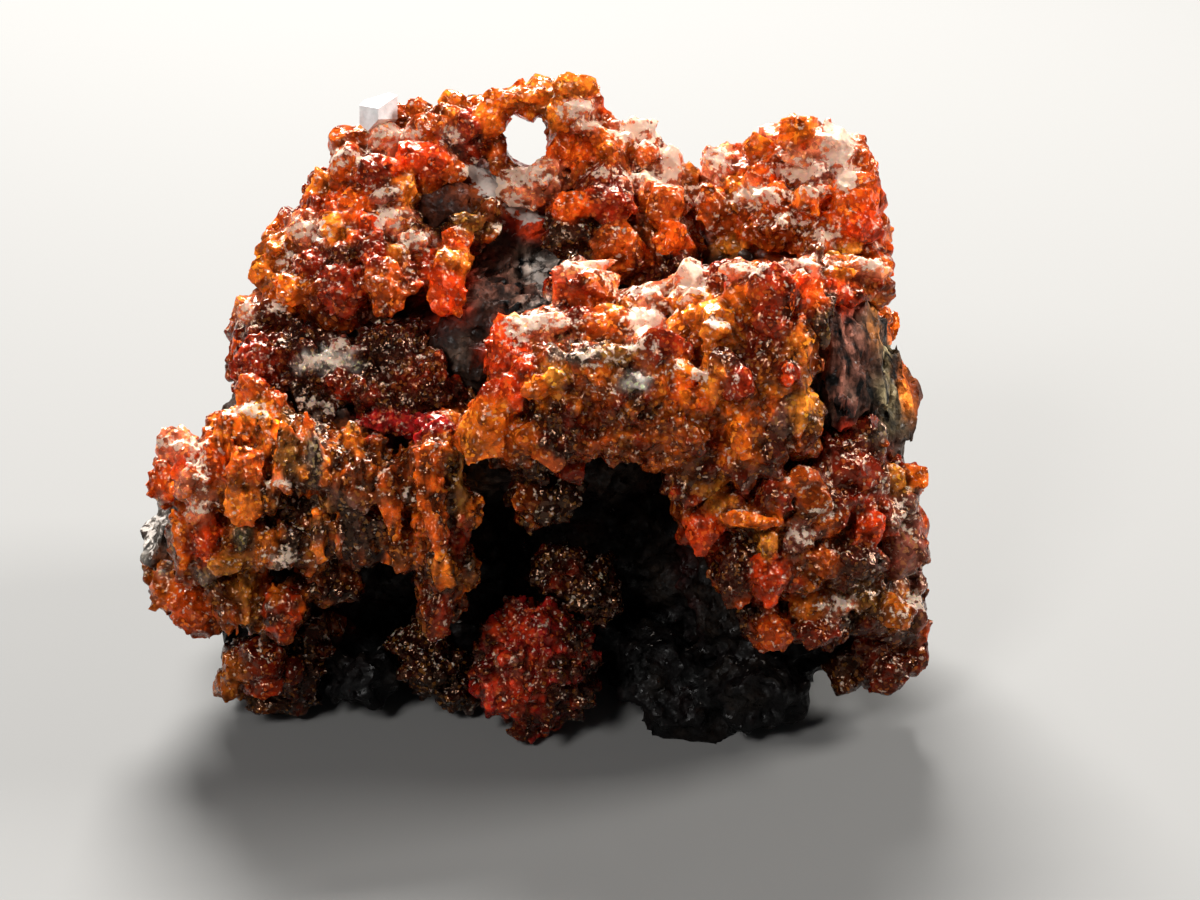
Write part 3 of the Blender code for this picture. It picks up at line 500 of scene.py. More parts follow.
def free_points(mesh, spacing, clear, others, rng):
    """Points spread over a mesh, with their normals and whether a crystal is free to grow there."""
    points, normals = surface_points(mesh, spacing * MM, rng)
    across, up = to_display(points)
    fits = open_to_air(points, normals, others, clear[0] * MM)
    fits &= ~within(WINDOW, across, up, clear[1]) & ~within(CHIP, across, up, clear[2])
    return points, normals, fits


def point_tree(points):
    """Points sorted for finding the nearest ones."""
    tree = KDTree(len(points))
    for i, point in enumerate(points):
        tree.insert(point, i)
    tree.balance()
    return tree


def groups_apart(points, reaches):
    """Numbers the crystals so that no two with the same number touch."""
    tree = point_tree(points)
    farthest = reaches.max()
    group = np.full(len(points), -1)
    for i, point in enumerate(points):
        used = set()
        for _, j, distance in tree.find_range(point, reaches[i] + farthest):
            if group[j] >= 0 and distance < reaches[i] + reaches[j]:
                used.add(group[j])
        number = 0
        while number in used:
            number += 1
        group[i] = number
    return group


def sticks_out(base, points, along, lengths):
    """True for crystals whose tip would stand well clear of the mass they grow on."""
    tips = points + along / np.linalg.norm(along, axis=1)[:, None] * lengths[:, None]
    result = np.zeros(len(points), dtype=bool)
    for i, tip in enumerate(tips):
        place, normal, _, distance = base.find_nearest(tip)
        result[i] = distance > CLEAR_TIP * MM and (Vector(tip) - place).dot(normal) > 0
    return result


def directions(name, normals, leans, rng):
    """The long axes of a mass's crystals: outward with some spread, or nearly upright."""
    spread, outward = leans
    lean = spread * rng.normal(size=normals.shape)
    if name in UPRIGHT:
        return np.array((0.0, 0.0, 1.0)) + outward * normals + 0.5 * lean
    return normals + lean


def lengthening(base, points, normals, along, radii, extra):
    """How many times longer crystals grow: most on steep sides, and once where they would stick out."""
    longer = 1 + extra * np.clip(1.1 - 1.4 * np.abs(normals[:, 2]), 0, 1)
    longer[sticks_out(base, points, along, radii * longer)] = 1
    return longer


def turned(along, rng):
    """A rotation for each crystal that puts its long axis along the given direction."""
    along = along / np.linalg.norm(along, axis=1)[:, None]
    side = np.cross(along, rng.normal(size=along.shape))
    side /= np.linalg.norm(side, axis=1)[:, None]
    return np.stack([side, np.cross(along, side), along], axis=2)


def join_crystals(mesh, points, radii, frames, shapes, rng):
    """The mesh with a crystal joined on at each point, as one closed surface; `radii` has three for each."""
    reaches = radii.max(axis=1) * 1.35
    group = groups_apart(points, reaches)
    kinds = rng.integers(len(shapes), size=len(points))
    collection = bpy.data.collections.new("crystals")
    bpy.context.scene.collection.children.link(collection)
    for number in range(group.max() + 1):
        corner_sets, triangle_sets, offset = [], [], 0
        for i in np.nonzero(group == number)[0]:
            corners, triangles = shapes[kinds[i]]
            placed = (corners * radii[i]) @ frames[i].T + points[i]
            placed[:, 2] = np.maximum(placed[:, 2], GROUND_CLEARANCE * MM)
            corner_sets.append(placed)
            triangle_sets.append(triangles + offset)
            offset += len(corners)
        group_mesh = bpy.data.meshes.new("crystals")
        corners, triangles = np.concatenate(corner_sets), np.concatenate(triangle_sets)
        group_mesh.from_pydata(corners.tolist(), [], triangles.tolist())
        collection.objects.link(bpy.data.objects.new("crystals", group_mesh))
    made = with_modifier(mesh, "BOOLEAN", operand_type="COLLECTION", collection=collection,
                         operation="UNION", solver="MANIFOLD")
    for helper in list(collection.objects):
        bpy.data.meshes.remove(helper.data)
    bpy.data.collections.remove(collection)
    return made


def add_object(name, data):
    """A new object in the scene."""
    thing = bpy.data.objects.new(name, data)
    bpy.context.scene.collection.objects.link(thing)
    return thing


def with_modifier(mesh, kind, **values):
    """A new mesh: the given one with one modifier applied."""
    work = add_object("work", mesh)
    modifier = work.modifiers.new("Work", kind)
    for key, value in values.items():
        setattr(modifier, key, value)
    graph = bpy.context.evaluated_depsgraph_get()
    made = bpy.data.meshes.new_from_object(work.evaluated_get(graph))
    bpy.data.objects.remove(work)
    return made


def keep_largest(mesh):
    """Deletes loose bits and closed hollows: all but the largest connected surface of a mesh."""
    starts, ends = rows(mesh.edges, "vertices", 2, np.int32).T
    surface = np.arange(len(mesh.vertices))
    while (surface[starts] != surface[ends]).any():
        lowest = np.minimum(surface[starts], surface[ends])
        np.minimum.at(surface, surface[starts], lowest)
        np.minimum.at(surface, surface[ends], lowest)
        surface = surface[surface]
    loose = np.nonzero(surface != np.bincount(surface).argmax())[0]
    shape = bmesh.new()
    shape.from_mesh(mesh)
    shape.verts.ensure_lookup_table()
    bmesh.ops.delete(shape, geom=[shape.verts[i] for i in loose], context="VERTS")
    shape.to_mesh(mesh)
    shape.free()


def melted(mesh, voxel, most_triangles):
    """The mesh in even small faces with its edges a little rounded, thinned out where it is flat."""
    made = with_modifier(mesh, "REMESH", mode="VOXEL", voxel_size=voxel * MM)
    keep_largest(made)
    triangles = 2 * len(made.polygons)
    if triangles > most_triangles:
        made = with_modifier(made, "DECIMATE", ratio=most_triangles / triangles)
    return made


def rippled(mesh):
    """The mesh with its surface made a little uneven, as etched crystals are."""
    corners, normals = rows(mesh.vertices, "co", 3), rows(mesh.vertices, "normal", 3)
    away = np.empty(len(corners))
    for i, corner in enumerate(corners):
        place = Vector(corner / MM)
        swell = SWELL_HEIGHT * noise.noise(place * SWELL_RATE)
        away[i] = swell - PIT_DEPTH * abs(noise.noise(place * PIT_RATE))
    move_corners(mesh, corners + normals * away[:, None] * MM)
    return mesh


def welded_copy(node):
    """A copy of a frame node's mesh with its corners joined, so that it is closed."""
    shape = bmesh.new()
    shape.from_mesh(node.data)
    bmesh.ops.remove_doubles(shape, verts=shape.verts[:], dist=1e-7)
    mesh = bpy.data.meshes.new(node.name)
    shape.to_mesh(mesh)
    shape.free()
    return mesh


def drawn_in(mesh, depth):
    """The mesh drawn in by `depth`, or by less where it is thin, to make room for its crystals."""
    tree = search_tree(mesh)
    for vertex in mesh.vertices:
        inward = -vertex.normal
        hit = tree.ray_cast(vertex.co + inward * 0.05 * MM, inward)
        thickness = hit[3] if hit[0] is not None else 0.0
        vertex.co = vertex.co + inward * min(depth * MM, 0.2 * thickness)
        vertex.co.z = max(vertex.co.z, 0.0)
    mesh.update()
    return mesh


def first_met(trees, across, up):
    """The mass that a line of sight meets first, and where."""
    hits = []
    for name, tree in trees.items():
        place, _, _, distance = tree.ray_cast(Vector(EYE * MM), line_of_sight(across, up))
        if place is not None:
            hits.append((distance, name, place))
    if not hits:
        return None, None
    _, name, place = min(hits)
    return name, np.array(place)


def depth_met(trees, across, up):
    """How far from the eye a line of sight meets a mass, or -1 where it meets none."""
    name, place = first_met(trees, across, up)
    return -1 if name is None else (place / MM - EYE) @ FORWARD


def facing_frames(count, rng):
    """Rotations that face the display side, each turned a little."""
    base = np.stack([ACROSS, FORWARD, UPWARD], axis=1)
    result = []
    for angle in rng.uniform(-0.3, 0.3, size=count):
        sine, cosine = math.sin(angle), math.cos(angle)
        result.append(base @ np.array(((cosine, 0, -sine), (0, 1, 0), (sine, 0, cosine))))
    return np.array(result)


class Lumps:
    """The listed large crystals, each set on the mass that its line of sight meets first."""

    def __init__(self, trees):
        found = []
        for across, up, half_width, half_height, colour in LUMPS:
            name, place = first_met(trees, across, up)
            if name is None:
                continue
            if name in UPRIGHT:
                half_width, half_height = half_width * 0.7, half_height * 1.25
            depth = LUMP_FLATNESS * min(half_width, half_height)
            centre = place + FORWARD * depth * LUMP_SINK * MM
            radii = (half_width * MM, depth * MM, half_height * MM)
            found.append((name, centre, radii, COLOURS[colour], (across, up, half_width, half_height)))
        self.names, self.centres, self.radii, self.colours, self.zones = map(np.array, zip(*found))
        # Depths of the painted glare zones and of the tints
        self.glare_depths = [depth_met(trees, zone[0], zone[1]) for zone in GLARE_ZONES]
        self.tint_depths = [depth_met(trees, zone[0], zone[1]) for zone in TINTS]

    def added(self, name, points, sizes, frames, colours, rng):
        """The crystals of a mass with its large ones added: places, sizes, turns and colours."""
        mine = np.nonzero(self.names == name)[0]
        if not len(mine):
            return points, sizes, frames, colours
        own = (self.centres[mine], self.radii[mine], facing_frames(len(mine), rng), self.colours[mine])
        return map(np.concatenate, zip((points, sizes, frames, colours), own))


def crystal_colours(name, points, normals, lumps, rng):
    """A colour for each crystal: from its mass's palette, drifting slowly, or from a large crystal nearby."""
    kinds, shares = zip(*PALETTES[name])
    steps = np.cumsum(shares) / sum(shares)
    drift = np.array([noise.noise(Vector(point / MM) * 0.33) for point in points])
    rank = np.clip(0.5 + 0.75 * drift + rng.normal(scale=0.13, size=len(points)), 0, 0.999)
    palette = np.array([COLOURS[kind] for kind in kinds])
    chosen = palette[np.searchsorted(steps, rank)]
    across, up = to_display(points)
    shown = normals @ -FORWARD > SHOWN_TURN
    best = np.full(len(points), LUMP_REACH)
    for i, zone in enumerate(lumps.zones):
        far = how_far(zone, across, up) * rng.uniform(0.85, 1.15, size=len(points))
        close = np.linalg.norm(points - lumps.centres[i], axis=1) < (2.0 * zone[2:].max() + 1.0) * MM
        takes = shown & close & (far < best)
        chosen[takes] = lumps.colours[i]
        best[takes] = far[takes]
    reach = (points / MM - EYE) @ FORWARD
    for zone, depth in zip(TINTS, lumps.tint_depths):
        chance = np.clip(1.6 - how_far(zone, across, up), 0, 1) * zone[5]
        takes = shown & (np.abs(reach - depth) < TINT_DEPTH) & (rng.random(len(points)) < chance)
        chosen[takes] = COLOURS[zone[4]]
    brightness = rng.uniform(0.75, 1.25, size=(len(points), 1))
    return np.clip(chosen * brightness, 0.003, 0.9)


def paint(name, mesh, base, points, radii, colours, lumps):
    """Gives each corner its crystal's colour, with painted shade between crystals and low down, painted light
    on tips and up high.
    """
    tree = point_tree(points)
    corners, normals = rows(mesh.vertices, "co", 3), rows(mesh.vertices, "normal", 3)
    owners = np.empty(len(corners), dtype=np.int32)
    heights = np.empty(len(corners))
    for i, corner in enumerate(corners):
        found = tree.find_n(corner, 5)
        owners[i] = min(found, key=lambda item: abs(item[2] - radii[item[1]] * 0.8))[1]
        heights[i] = base.find_nearest(corner)[3] / MM
    blended = blurred(colours[owners], rows(mesh.edges, "vertices", 2, np.int32), COLOUR_BLUR)
    # Painted shade deep between the crystals, painted light at their tips
    rise = np.clip(heights / FULL_LIGHT_HEIGHT, 0, 1)
    shade = eased(rise, DEEP_SHADE, TIP_SHADE)
    # Painted shade low down and painted light high up, partly also the darker crystals of the base
    climb = np.clip((corners[:, 2] / MM - DARK_BELOW) / (FULL_ABOVE - DARK_BELOW), 0, 1)
    shade = shade * eased(climb, LOW_SHADE, HIGH_SHADE) * LIT_MASSES.get(name, 1.0)
    # The rock gets extra painted shade near the ground
    if name == "matrix":
        clear = np.clip((corners[:, 2] / MM - ROCK_DARK_BELOW) / (ROCK_FULL_ABOVE - ROCK_DARK_BELOW), 0, 1)
        shade = shade * (ROCK_LOW_SHADE + (1 - ROCK_LOW_SHADE) * clear)
    rgba = np.ones((len(corners), 4), dtype=np.float32)
    rgba[:, :3] = np.clip(blended * shade[:, None], 0.001, 0.92)
    layer = mesh.attributes.new("crystal_colour", "FLOAT_COLOR", "POINT")
    layer.data.foreach_set("color", rgba.ravel())
    across, up = to_display(corners)
    add_layer(mesh, "glitter", np.maximum(1.0 if name in DRUSY else 0.0, zone_share(DRUSE, across, up) * 0.8))
    add_layer(mesh, "fibre", zone_share(STREAKED, across, up))
    # Where painted glare, whitish highlights, goes
    add_layer(mesh, "glare", painted_glare(corners, normals, rise, lumps))


def eased(share, low, high):
    """A value that goes smoothly from `low` to `high` as the share goes from 0 to 1."""
    return low + (high - low) * share * share * (3 - 2 * share)


def add_layer(mesh, name, values):
    """Keeps a value for each corner of a mesh, for its material to read."""
    layer = mesh.attributes.new(name, "FLOAT", "POINT")
    layer.data.foreach_set("value", values.astype(np.float32))


def blurred(values, edges, rounds):
    """Values of the corners of a mesh, each drawn towards those of its neighbours."""
    counts = np.bincount(edges.ravel(), minlength=len(values))[:, None]
    for _ in range(rounds):
        sums = np.zeros_like(values)
        for channel in range(values.shape[1]):
            sums[:, channel] = np.bincount(edges[:, 0], values[edges[:, 1], channel], len(values))
            sums[:, channel] += np.bincount(edges[:, 1], values[edges[:, 0], channel], len(values))
        values = 0.4 * values + 0.6 * sums / np.maximum(counts, 1)
    return values


def painted_glare(corners, normals, rise, lumps):
    """How much painted glare each corner gets: most in the glare zones on upward sides, a little on every
    top.
    """
    upward = np.clip((normals @ np.array((0.0, 0.25, 0.97)) + 0.15) / 0.8, 0, 1)
    across, up = to_display(corners)
    reach = (corners / MM - EYE) @ FORWARD
    amount = 0.22 * np.clip((normals[:, 2] - 0.55) / 0.35, 0, 1)
    for zone, depth in zip(GLARE_ZONES, lumps.glare_depths):
        share = np.clip(1.5 - how_far(zone, across, up), 0, 1) * (np.abs(reach - depth) < GLARE_DEPTH)
        amount = np.maximum(amount, share * (0.5 + 0.5 * upward) * zone[4])
    return amount * (0.7 + 0.3 * rise)


def dress(name, node, others, lumps, round_shapes, sharp_shapes, finish, rng):
    """One crystal mass: the frame's solid with large, coarse and fine crystals joined on."""
    slot, most_triangles, stretch = MASSES[name]
    mesh = drawn_in(welded_copy(node), DRAWN_IN)
    base = search_tree(mesh)
    all_points, all_radii, all_colours = [], [], []

    # Coarse crystals, with the listed ones
    least, greatest, spacing, sink = COARSE
    if name in DRUSY:
        least, greatest, spacing = DRUSY_COARSE
    points, normals, fits = free_points(mesh, spacing, COARSE_CLEAR, others, rng)
    for i in np.nonzero(lumps.names == name)[0]:
        away = np.linalg.norm(points - lumps.centres[i], axis=1)
        fits &= (away > 0.75 * lumps.radii[i].max()) | (rng.random(len(points)) < 0.25)
    points, normals = points[fits], normals[fits]
    radii = (least + (greatest - least) * rng.random(len(points)) ** 1.9) * MM
    radii[in_druse(points)] *= 0.65
    points = points - normals * (radii * sink)[:, None]
    colours = crystal_colours(name, points, normals, lumps, rng)
    along = directions(name, normals, COARSE_LEAN, rng)
    frames = turned(along, rng)
    longer = lengthening(base, points, normals, along, radii, stretch - 1)
    sizes = radii[:, None] * np.stack([longer**-0.5, longer**-0.5, longer**0.5], axis=1)
    points, sizes, frames, colours = lumps.added(name, points, sizes, frames, colours, rng)
    mesh = join_crystals(mesh, points, sizes, frames, round_shapes, rng)
    all_points.append(points)
    all_radii.append(sizes.mean(axis=1))
    all_colours.append(colours)

    # Fine crystals, dense where there is druse
    least, greatest, spacing, sink = FINE
    points, normals, fits = free_points(mesh, spacing, FINE_CLEAR, others, rng)
    dense = in_druse(points)
    if name in DRUSY or name in UPRIGHT:
        dense[:] = True
    patchy = np.array([noise.noise(Vector(point / MM) * 0.5) for point in points])
    fits &= dense | (patchy + rng.normal(scale=0.15, size=len(points)) > 0.5 - FINE_SHARE)
    points, normals = points[fits], normals[fits]
    radii = (least + (greatest - least) * rng.random(len(points)) ** 1.6) * MM
    points = points - normals * (radii * sink)[:, None]
    colours = crystal_colours(name, points, normals, lumps, rng)
    along = directions(name, normals, FINE_LEAN, rng)
    sizes = radii[:, None] * np.array((1.0, 1.0, 1.2))
    if name in UPRIGHT:
        longer = lengthening(base, points, normals, along, radii, FINE_LENGTHENING)
        sizes = radii[:, None] * np.stack([longer**-0.3, longer**-0.3, longer], axis=1)
    mesh = join_crystals(mesh, points, sizes, turned(along, rng), sharp_shapes, rng)
    all_points.append(points)
    all_radii.append(sizes.mean(axis=1))
    all_colours.append(colours)

    mesh = rippled(melted(mesh, DRUSY_VOXEL if name in DRUSY else VOXEL, most_triangles))
    points, radii, colours = (np.concatenate(sets) for sets in (all_points, all_radii, all_colours))
    paint(name, mesh, base, points, radii, colours, lumps)
    show(name, mesh, finish)


def show(name, mesh, finish):
    """Puts a finished mesh in the scene in place of its node."""
    mesh.materials.clear()
    mesh.materials.append(finish)
    if name == "white_chip":
        mesh.shade_flat()
    else:
        mesh.shade_smooth()
        mesh.set_sharp_from_angle(angle=CRISP_EDGE)
    piece = add_object(name + "_crystals", mesh)
    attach(piece, BODY)
    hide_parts(name)


class Nodes:
    """Short ways to add and link nodes of one material."""

    def __init__(self, name):
        self.material = bpy.data.materials.new(name)
        self.material.use_nodes = True
        self.tree = self.material.node_tree
        self.shader = self.tree.nodes["Principled BSDF"]

    def put(self, value, socket):
        """Links a socket to an output, or sets it to a constant."""
        if isinstance(value, bpy.types.NodeSocket):
            self.tree.links.new(value, socket)
        else:
            socket.default_value = value

    def set(self, **values):
        """Fills the shader's own sockets, named with _ for a space."""
        for key, value in values.items():
            self.put(value, self.shader.inputs[key.replace("_", " ")])

    def add(self, kind, output, inputs, **settings):
        """Adds a node, fills its inputs, and gives one of its outputs."""
        node = self.tree.nodes.new(kind)
        for key, value in settings.items():
            setattr(node, key, value)
        for key, value in inputs.items():
            self.put(value, node.inputs[key])
        return node.outputs[output]

    def object_point(self):
        return self.add("ShaderNodeTexCoord", "Object", {})

    def painted(self, name, output="Fac"):
        """A value that `paint` kept for each corner of the mesh."""
        return self.add("ShaderNodeAttribute", output, {}, attribute_name=name)

    def maths(self, operation, first, second):
        return self.add("ShaderNodeMath", 0, {0: first, 1: second}, operation=operation)

    def vector(self, operation, first, second=None):
        inputs = {0: first}
        if second is not None:
            inputs["Scale" if operation == "SCALE" else 1] = second
        return self.add("ShaderNodeVectorMath", 0, inputs, operation=operation)

    def noise(self, point, scale, detail=3.0):
        return self.add("ShaderNodeTexNoise", "Fac", {"Vector": point, "Scale": scale, "Detail": detail})

    def cells(self, point, scale):
        return self.add("ShaderNodeTexVoronoi", "Color", {"Vector": point, "Scale": scale})

    def ranged(self, value, low, high, out_low, out_high):
        inputs = {"Value": value, "From Min": low, "From Max": high, "To Min": out_low, "To Max": out_high}
        return self.add("ShaderNodeMapRange", "Result", inputs)

    def mix(self, share, first, second):
        return self.add("ShaderNodeMix", 2, {0: share, 6: first, 7: second}, data_type="RGBA")

    def bump(self, height, depth, strength):
        inputs = {"Height": height, "Distance": depth, "Strength": strength}
        return self.add("ShaderNodeBump", "Normal", inputs)

    def channel(self, colour, number):
        return self.add("ShaderNodeSeparateColor", number, {0: colour})

    def tilted(self, cells, amount, under):
        """A normal that tips by a different amount in each small cell, so that the cells glint one by one."""
        centred = self.vector("SUBTRACT", cells, (0.5, 0.5, 0.5))
        return self.vector("NORMALIZE", self.vector("ADD", under, self.vector("SCALE", centred, amount)))


def crystal_finish():
    """Glassy zincite: see-through at the edges, deep colour inside, with wet, slightly uneven faces."""
    nodes = Nodes("zincite")
    point = nodes.object_point()
    colour = nodes.painted("crystal_colour", "Color")
    depth = nodes.ranged(nodes.noise(point, 1100.0, 4.0), 0.32, 0.68, 0.35, 1.55)
    long_point = nodes.vector("MULTIPLY", point, (1.0, 1.0, 0.12))
    streaks = nodes.ranged(nodes.noise(long_point, 1300.0), 0.38, 0.62, -0.85, 1.0)
    fibre = nodes.painted("fibre")
    streaked = nodes.maths("ADD", 1.0, nodes.maths("MULTIPLY", streaks, fibre))
    # Painted light and shade facet by facet and grain by grain, on the same cells that tilt the normals
    facets = nodes.cells(point, 1700.0)
    facet_light = nodes.ranged(nodes.channel(facets, 0), 0.0, 1.0, 0.55, 1.5)
    grains = nodes.cells(point, 4300.0)
    grain_light = nodes.ranged(nodes.channel(grains, 0), 0.0, 1.0, 0.75, 1.25)
    inner = nodes.maths("MULTIPLY", facet_light, grain_light)
    light = nodes.maths("MULTIPLY", nodes.maths("MULTIPLY", depth, streaked), inner)
    deep = nodes.vector("SCALE", colour, light)
    # Painted glints: a few small grains painted a warm bright colour
    glint_colour = nodes.vector("ADD", nodes.vector("MULTIPLY", colour, (1.6, 2.2, 1.6)), (0.16, 0.065, 0.012))
    glint_share = nodes.ranged(nodes.channel(grains, 1), 0.84, 0.90, 0.0, 0.9)
    # Painted glare: whitish highlights from the painted layer, broken into patches
    glare = nodes.painted("glare")
    patches = nodes.ranged(nodes.noise(point, 2300.0, 5.0), 0.32, 0.68, -0.6, 0.6)
    white = nodes.ranged(nodes.maths("ADD", glare, patches), 0.42, 0.72, 0.0, 0.9)
    surface = nodes.bump(nodes.noise(point, 1500.0), 0.00012, 0.9)
    rough = nodes.ranged(nodes.noise(point, 1700.0, 2.0), 0.35, 0.65, 0.04, 0.28)
    glitter = nodes.painted("glitter")
    tilt = nodes.maths("ADD", 0.12, nodes.maths("MULTIPLY", glitter, 0.38))
    nodes.set(
        Base_Color=nodes.mix(white, nodes.mix(glint_share, deep, glint_colour), GLARE_COLOUR),
        Roughness=nodes.maths("MAXIMUM", rough, nodes.maths("MULTIPLY", white, 0.35)),
        Normal=nodes.tilted(grains, tilt, nodes.tilted(facets, 0.45, surface)),
        IOR=1.5,
        Specular_Tint=(1.0, 0.56, 0.35, 1.0),
        Transmission_Weight=0.35,
        Subsurface_Weight=0.18,
        Subsurface_Scale=0.8 * MM,
        Subsurface_Radius=(1.0, 0.28, 0.08),
    )
    return nodes.material


def rock_finish():
    """Dark grey-brown rock with glinting grains, silvery fibres and patches of painted glare."""
    nodes = Nodes("matrix rock")
    point = nodes.object_point()
    colour = nodes.painted("crystal_colour", "Color")
    mottle = nodes.ranged(nodes.noise(point, 600.0, 5.0), 0.3, 0.7, 0.35, 1.8)
    turn = {"Vector": point, "Rotation": (0.0, math.radians(-25.0), 0.0), "Scale": (1.0, 1.0, 0.13)}
    strands = nodes.noise(nodes.add("ShaderNodeMapping", "Vector", turn), 1300.0)
    fibre = nodes.painted("fibre")
    strand_light = nodes.maths("MULTIPLY", nodes.ranged(strands, 0.42, 0.60, -0.8, 1.9), fibre)
    # Painted light and shade grain by grain, on the same cells that tilt the normals
    grains = nodes.cells(point, 3200.0)
    grain_light = nodes.ranged(nodes.channel(grains, 0), 0.0, 1.0, 0.5, 1.6)
    light = nodes.maths("MULTIPLY", nodes.maths("ADD", mottle, strand_light), grain_light)
    # Painted glare and glints on the rock, broken into patches
    glare = nodes.painted("glare")
    patches = nodes.ranged(nodes.noise(point, 2000.0), 0.3, 0.7, -0.5, 0.5)
    white = nodes.ranged(nodes.maths("ADD", glare, patches), 0.55, 0.80, 0.0, 0.85)
    height = nodes.maths("ADD", nodes.noise(point, 1200.0, 5.0), nodes.maths("MULTIPLY", strands, fibre))
    nodes.set(
        Base_Color=nodes.mix(white, nodes.vector("SCALE", colour, light), ROCK_GLARE_COLOUR),
        Roughness=nodes.ranged(nodes.noise(point, 1800.0, 2.0), 0.35, 0.65, 0.25, 0.85),
        Normal=nodes.tilted(grains, 0.35, nodes.bump(height, 0.00025, 1.0)),
        Specular_IOR_Level=0.16,
    )
    return nodes.material


def chip_finish():
    """A chalky white mineral."""
    nodes = Nodes("white mineral")
    point = nodes.object_point()
    tone = nodes.ranged(nodes.noise(point, 1200.0), 0.3, 0.7, 0.62, 0.85)
    nodes.set(Base_Color=tone, Roughness=0.55, Normal=nodes.bump(nodes.noise(point, 1500.0), 0.0001, 0.8))
    return nodes.material


# Places where the rock is fibrous: across, up, half width, half height, lean of the fibres in degrees
FIBRES = [
    (-1.6, 29.4, 4.2, 3.6, 55),
    (25.0, 23.6, 3.6, 5.4, 4),
    (29.0, 20.0, 2.2, 6.0, -8),
]
FIBRE_SIZE = (0.14, 0.18, 0.95)
FIBRE_SPACING = 0.42

# The rock: its voxels, its crystals' least and greatest radius, spacing and sink, and its most triangles
ROCK_VOXEL, ROCK_FINE_VOXEL = 0.40, 0.20
ROCK_GRAIN = (0.20, 0.65, 0.95, 0.3)
ROCK_TRIANGLES = 130000

# Unevenness of the rock: height, and how often it comes in a millimetre. It fades out near the ground
RIDGE_HEIGHT, RIDGE_RATE, RIDGE_LEVEL = 1.5, 0.35, 0.95
KNOB_HEIGHT, KNOB_RATE = 0.45, 0.9
GRAIN_HEIGHT, GRAIN_RATE = 0.25, 2.4
FLAT_BELOW = 1.5


def roughened(mesh):
    """The rock's mesh in small even faces, with its surface broken up, and still flat underneath."""
    made = with_modifier(mesh, "REMESH", mode="VOXEL", voxel_size=ROCK_VOXEL * MM)
    corners, normals = rows(made.vertices, "co", 3), rows(made.vertices, "normal", 3)
    for i, (corner, normal) in enumerate(zip(corners, normals)):
        place = Vector(corner / MM)
        ridge = 1 - abs(noise.noise(place * RIDGE_RATE))
        knob = noise.noise(place * KNOB_RATE)
        grain = noise.noise(place * GRAIN_RATE)
        away = (ridge - RIDGE_LEVEL) * RIDGE_HEIGHT + knob * KNOB_HEIGHT + grain * GRAIN_HEIGHT
        near_ground = min(corner[2] / MM / FLAT_BELOW, 1.0)
        corners[i] += normal * away * near_ground * MM
    move_corners(made, corners)
    return made


def dress_rock(node, others, lumps, sharp_shapes, finish, rng):
    """The rock: broken up, with small crystals scattered over what shows."""
    name = "matrix"
    mesh = roughened(welded_copy(node))
    base = search_tree(mesh)
    least, greatest, spacing, sink = ROCK_GRAIN
    points, normals = surface_points(mesh, spacing * MM, rng)
    fits = open_to_air(points, normals, others, 0.5 * MM) & (points[:, 2] > 0.6 * MM)
    fits &= ~within(WINDOW, *to_display(points), 0.8)
    points, normals = points[fits], normals[fits]
    radii = (least + (greatest - least) * rng.random(len(points)) ** 2) * MM
    points = points - normals * (radii * sink)[:, None]
    colours = crystal_colours(name, points, normals, lumps, rng)
    sizes = radii[:, None] * np.ones(3)
    frames = turned(normals + 0.4 * rng.normal(size=normals.shape), rng)
    points, sizes, frames, colours = lumps.added(name, points, sizes, frames, colours, rng)
    mesh = join_crystals(mesh, points, sizes, frames, sharp_shapes, rng)
    places, outward = surface_points(mesh, FIBRE_SPACING * MM, rng)
    across, up = to_display(places)
    for zone in FIBRES:
        lean = math.radians(zone[4])
        grows = within(zone, across, up) & (outward @ -FORWARD > 0)
        grows &= open_to_air(places, outward, others, 0.3 * MM)
        along = UPWARD * math.cos(lean) + ACROSS * math.sin(lean) + 0.12 * rng.normal(size=(grows.sum(), 3))
        fibre_sizes = np.array(FIBRE_SIZE) * MM * rng.uniform(0.7, 1.3, size=(grows.sum(), 1))
        mesh = join_crystals(mesh, places[grows], fibre_sizes, turned(along, rng), sharp_shapes, rng)
        points = np.concatenate([points, places[grows]])
        sizes = np.concatenate([sizes, fibre_sizes])
        colours = np.concatenate([colours, crystal_colours(name, places[grows], outward[grows], lumps, rng)])
    mesh = melted(mesh, ROCK_FINE_VOXEL, ROCK_TRIANGLES)
    paint(name, mesh, base, points, sizes.mean(axis=1), colours, lumps)
    show(name, mesh, finish)


# Lights: name, place, width and height, watts, colour. They face the middle of the specimen
LIGHTS = [
    ("back light", (-60, 320, 400), (240, 170), 10.0, (1.0, 0.98, 0.95)),
    ("right light", (300, 40, 260), (110, 110), 1.6, (1.0, 0.97, 0.93)),
    ("front light", (-170, -280, 300), (100, 100), 1.1, (1.0, 0.98, 0.96)),
]
MIDDLE = Vector((0, 0, 22))
SKY_COLOUR, SKY_STRENGTH = (0.95, 0.97, 1.0, 1.0), 0.08
FLOOR_COLOUR, FLOOR_REACH = (0.19, 0.19, 0.187, 1.0), 3000.0


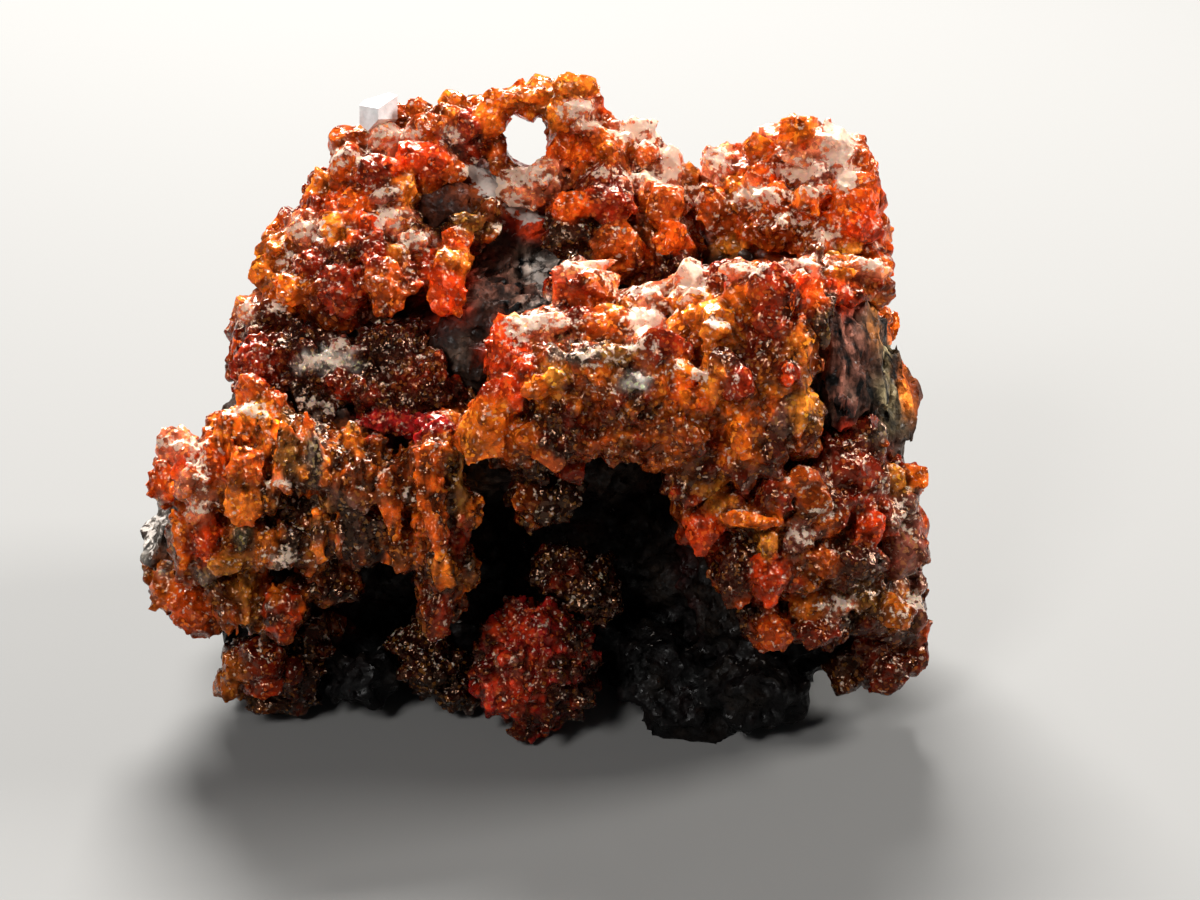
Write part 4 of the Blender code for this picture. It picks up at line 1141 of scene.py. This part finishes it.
def area_light(name, place, size, power, colour):
    """A soft rectangular light."""
    light = bpy.data.lights.new(name, "AREA")
    light.shape = "RECTANGLE"
    light.size, light.size_y = size[0] * MM, size[1] * MM
    light.energy = power
    light.color = colour
    thing = add_object(name, light)
    thing.location = Vector(place) * MM
    thing.rotation_euler = (MIDDLE * MM - thing.location).to_track_quat("-Z", "Y").to_euler()


def studio():
    """The camera on the display side, a pale floor and soft lights: the main one from behind and above."""
    data = bpy.data.cameras.new("camera")
    data.lens, data.sensor_width = LENS, SENSOR
    data.clip_start = 1 * MM
    camera = add_object("camera", data)
    camera.location = Vector(EYE) * MM
    camera.rotation_euler = (math.pi / 2 - SIGHT_ELEVATION, 0, 0)
    bpy.context.scene.camera = camera

    mesh = bpy.data.meshes.new("floor")
    reach = FLOOR_REACH * MM
    corners = [(-reach, -reach, 0), (reach, -reach, 0), (reach, reach, 0), (-reach, reach, 0)]
    mesh.from_pydata(corners, [], [(0, 1, 2, 3)])
    floor = add_object("floor", mesh)
    nodes = Nodes("floor")
    nodes.set(Base_Color=FLOOR_COLOUR, Roughness=0.9, Specular_IOR_Level=0.1)
    mesh.materials.append(nodes.material)

    for light in LIGHTS:
        area_light(*light)
    world = bpy.data.worlds.new("world")
    bpy.context.scene.world = world
    world.use_nodes = True
    world.node_tree.nodes["Background"].inputs["Color"].default_value = SKY_COLOUR
    world.node_tree.nodes["Background"].inputs["Strength"].default_value = SKY_STRENGTH
    bpy.context.scene.view_settings.view_transform = "Standard"


def main():
    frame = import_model()
    studio()
    round_shapes = [crystal_shape(seed, ROUND_FACES) for seed in range(SHAPES)]
    sharp_shapes = [crystal_shape(seed, SHARP_FACES) for seed in range(SHAPES)]
    trees = {name: search_tree(node.data) for name, node in frame["nodes"].items()}
    lumps = Lumps(trees)
    zincite = crystal_finish()
    for number, name in enumerate(sorted(MASSES)):
        others = [tree for other, tree in trees.items() if other != name]
        rng = np.random.default_rng(100 + number)
        dress(name, frame["nodes"][name], others, lumps, round_shapes, sharp_shapes, zincite, rng)
    others = [tree for other, tree in trees.items() if other != "matrix"]
    rng = np.random.default_rng(7)
    dress_rock(frame["nodes"]["matrix"], others, lumps, sharp_shapes, rock_finish(), rng)
    show("white_chip", welded_copy(frame["nodes"]["white_chip"]), chip_finish())


main()
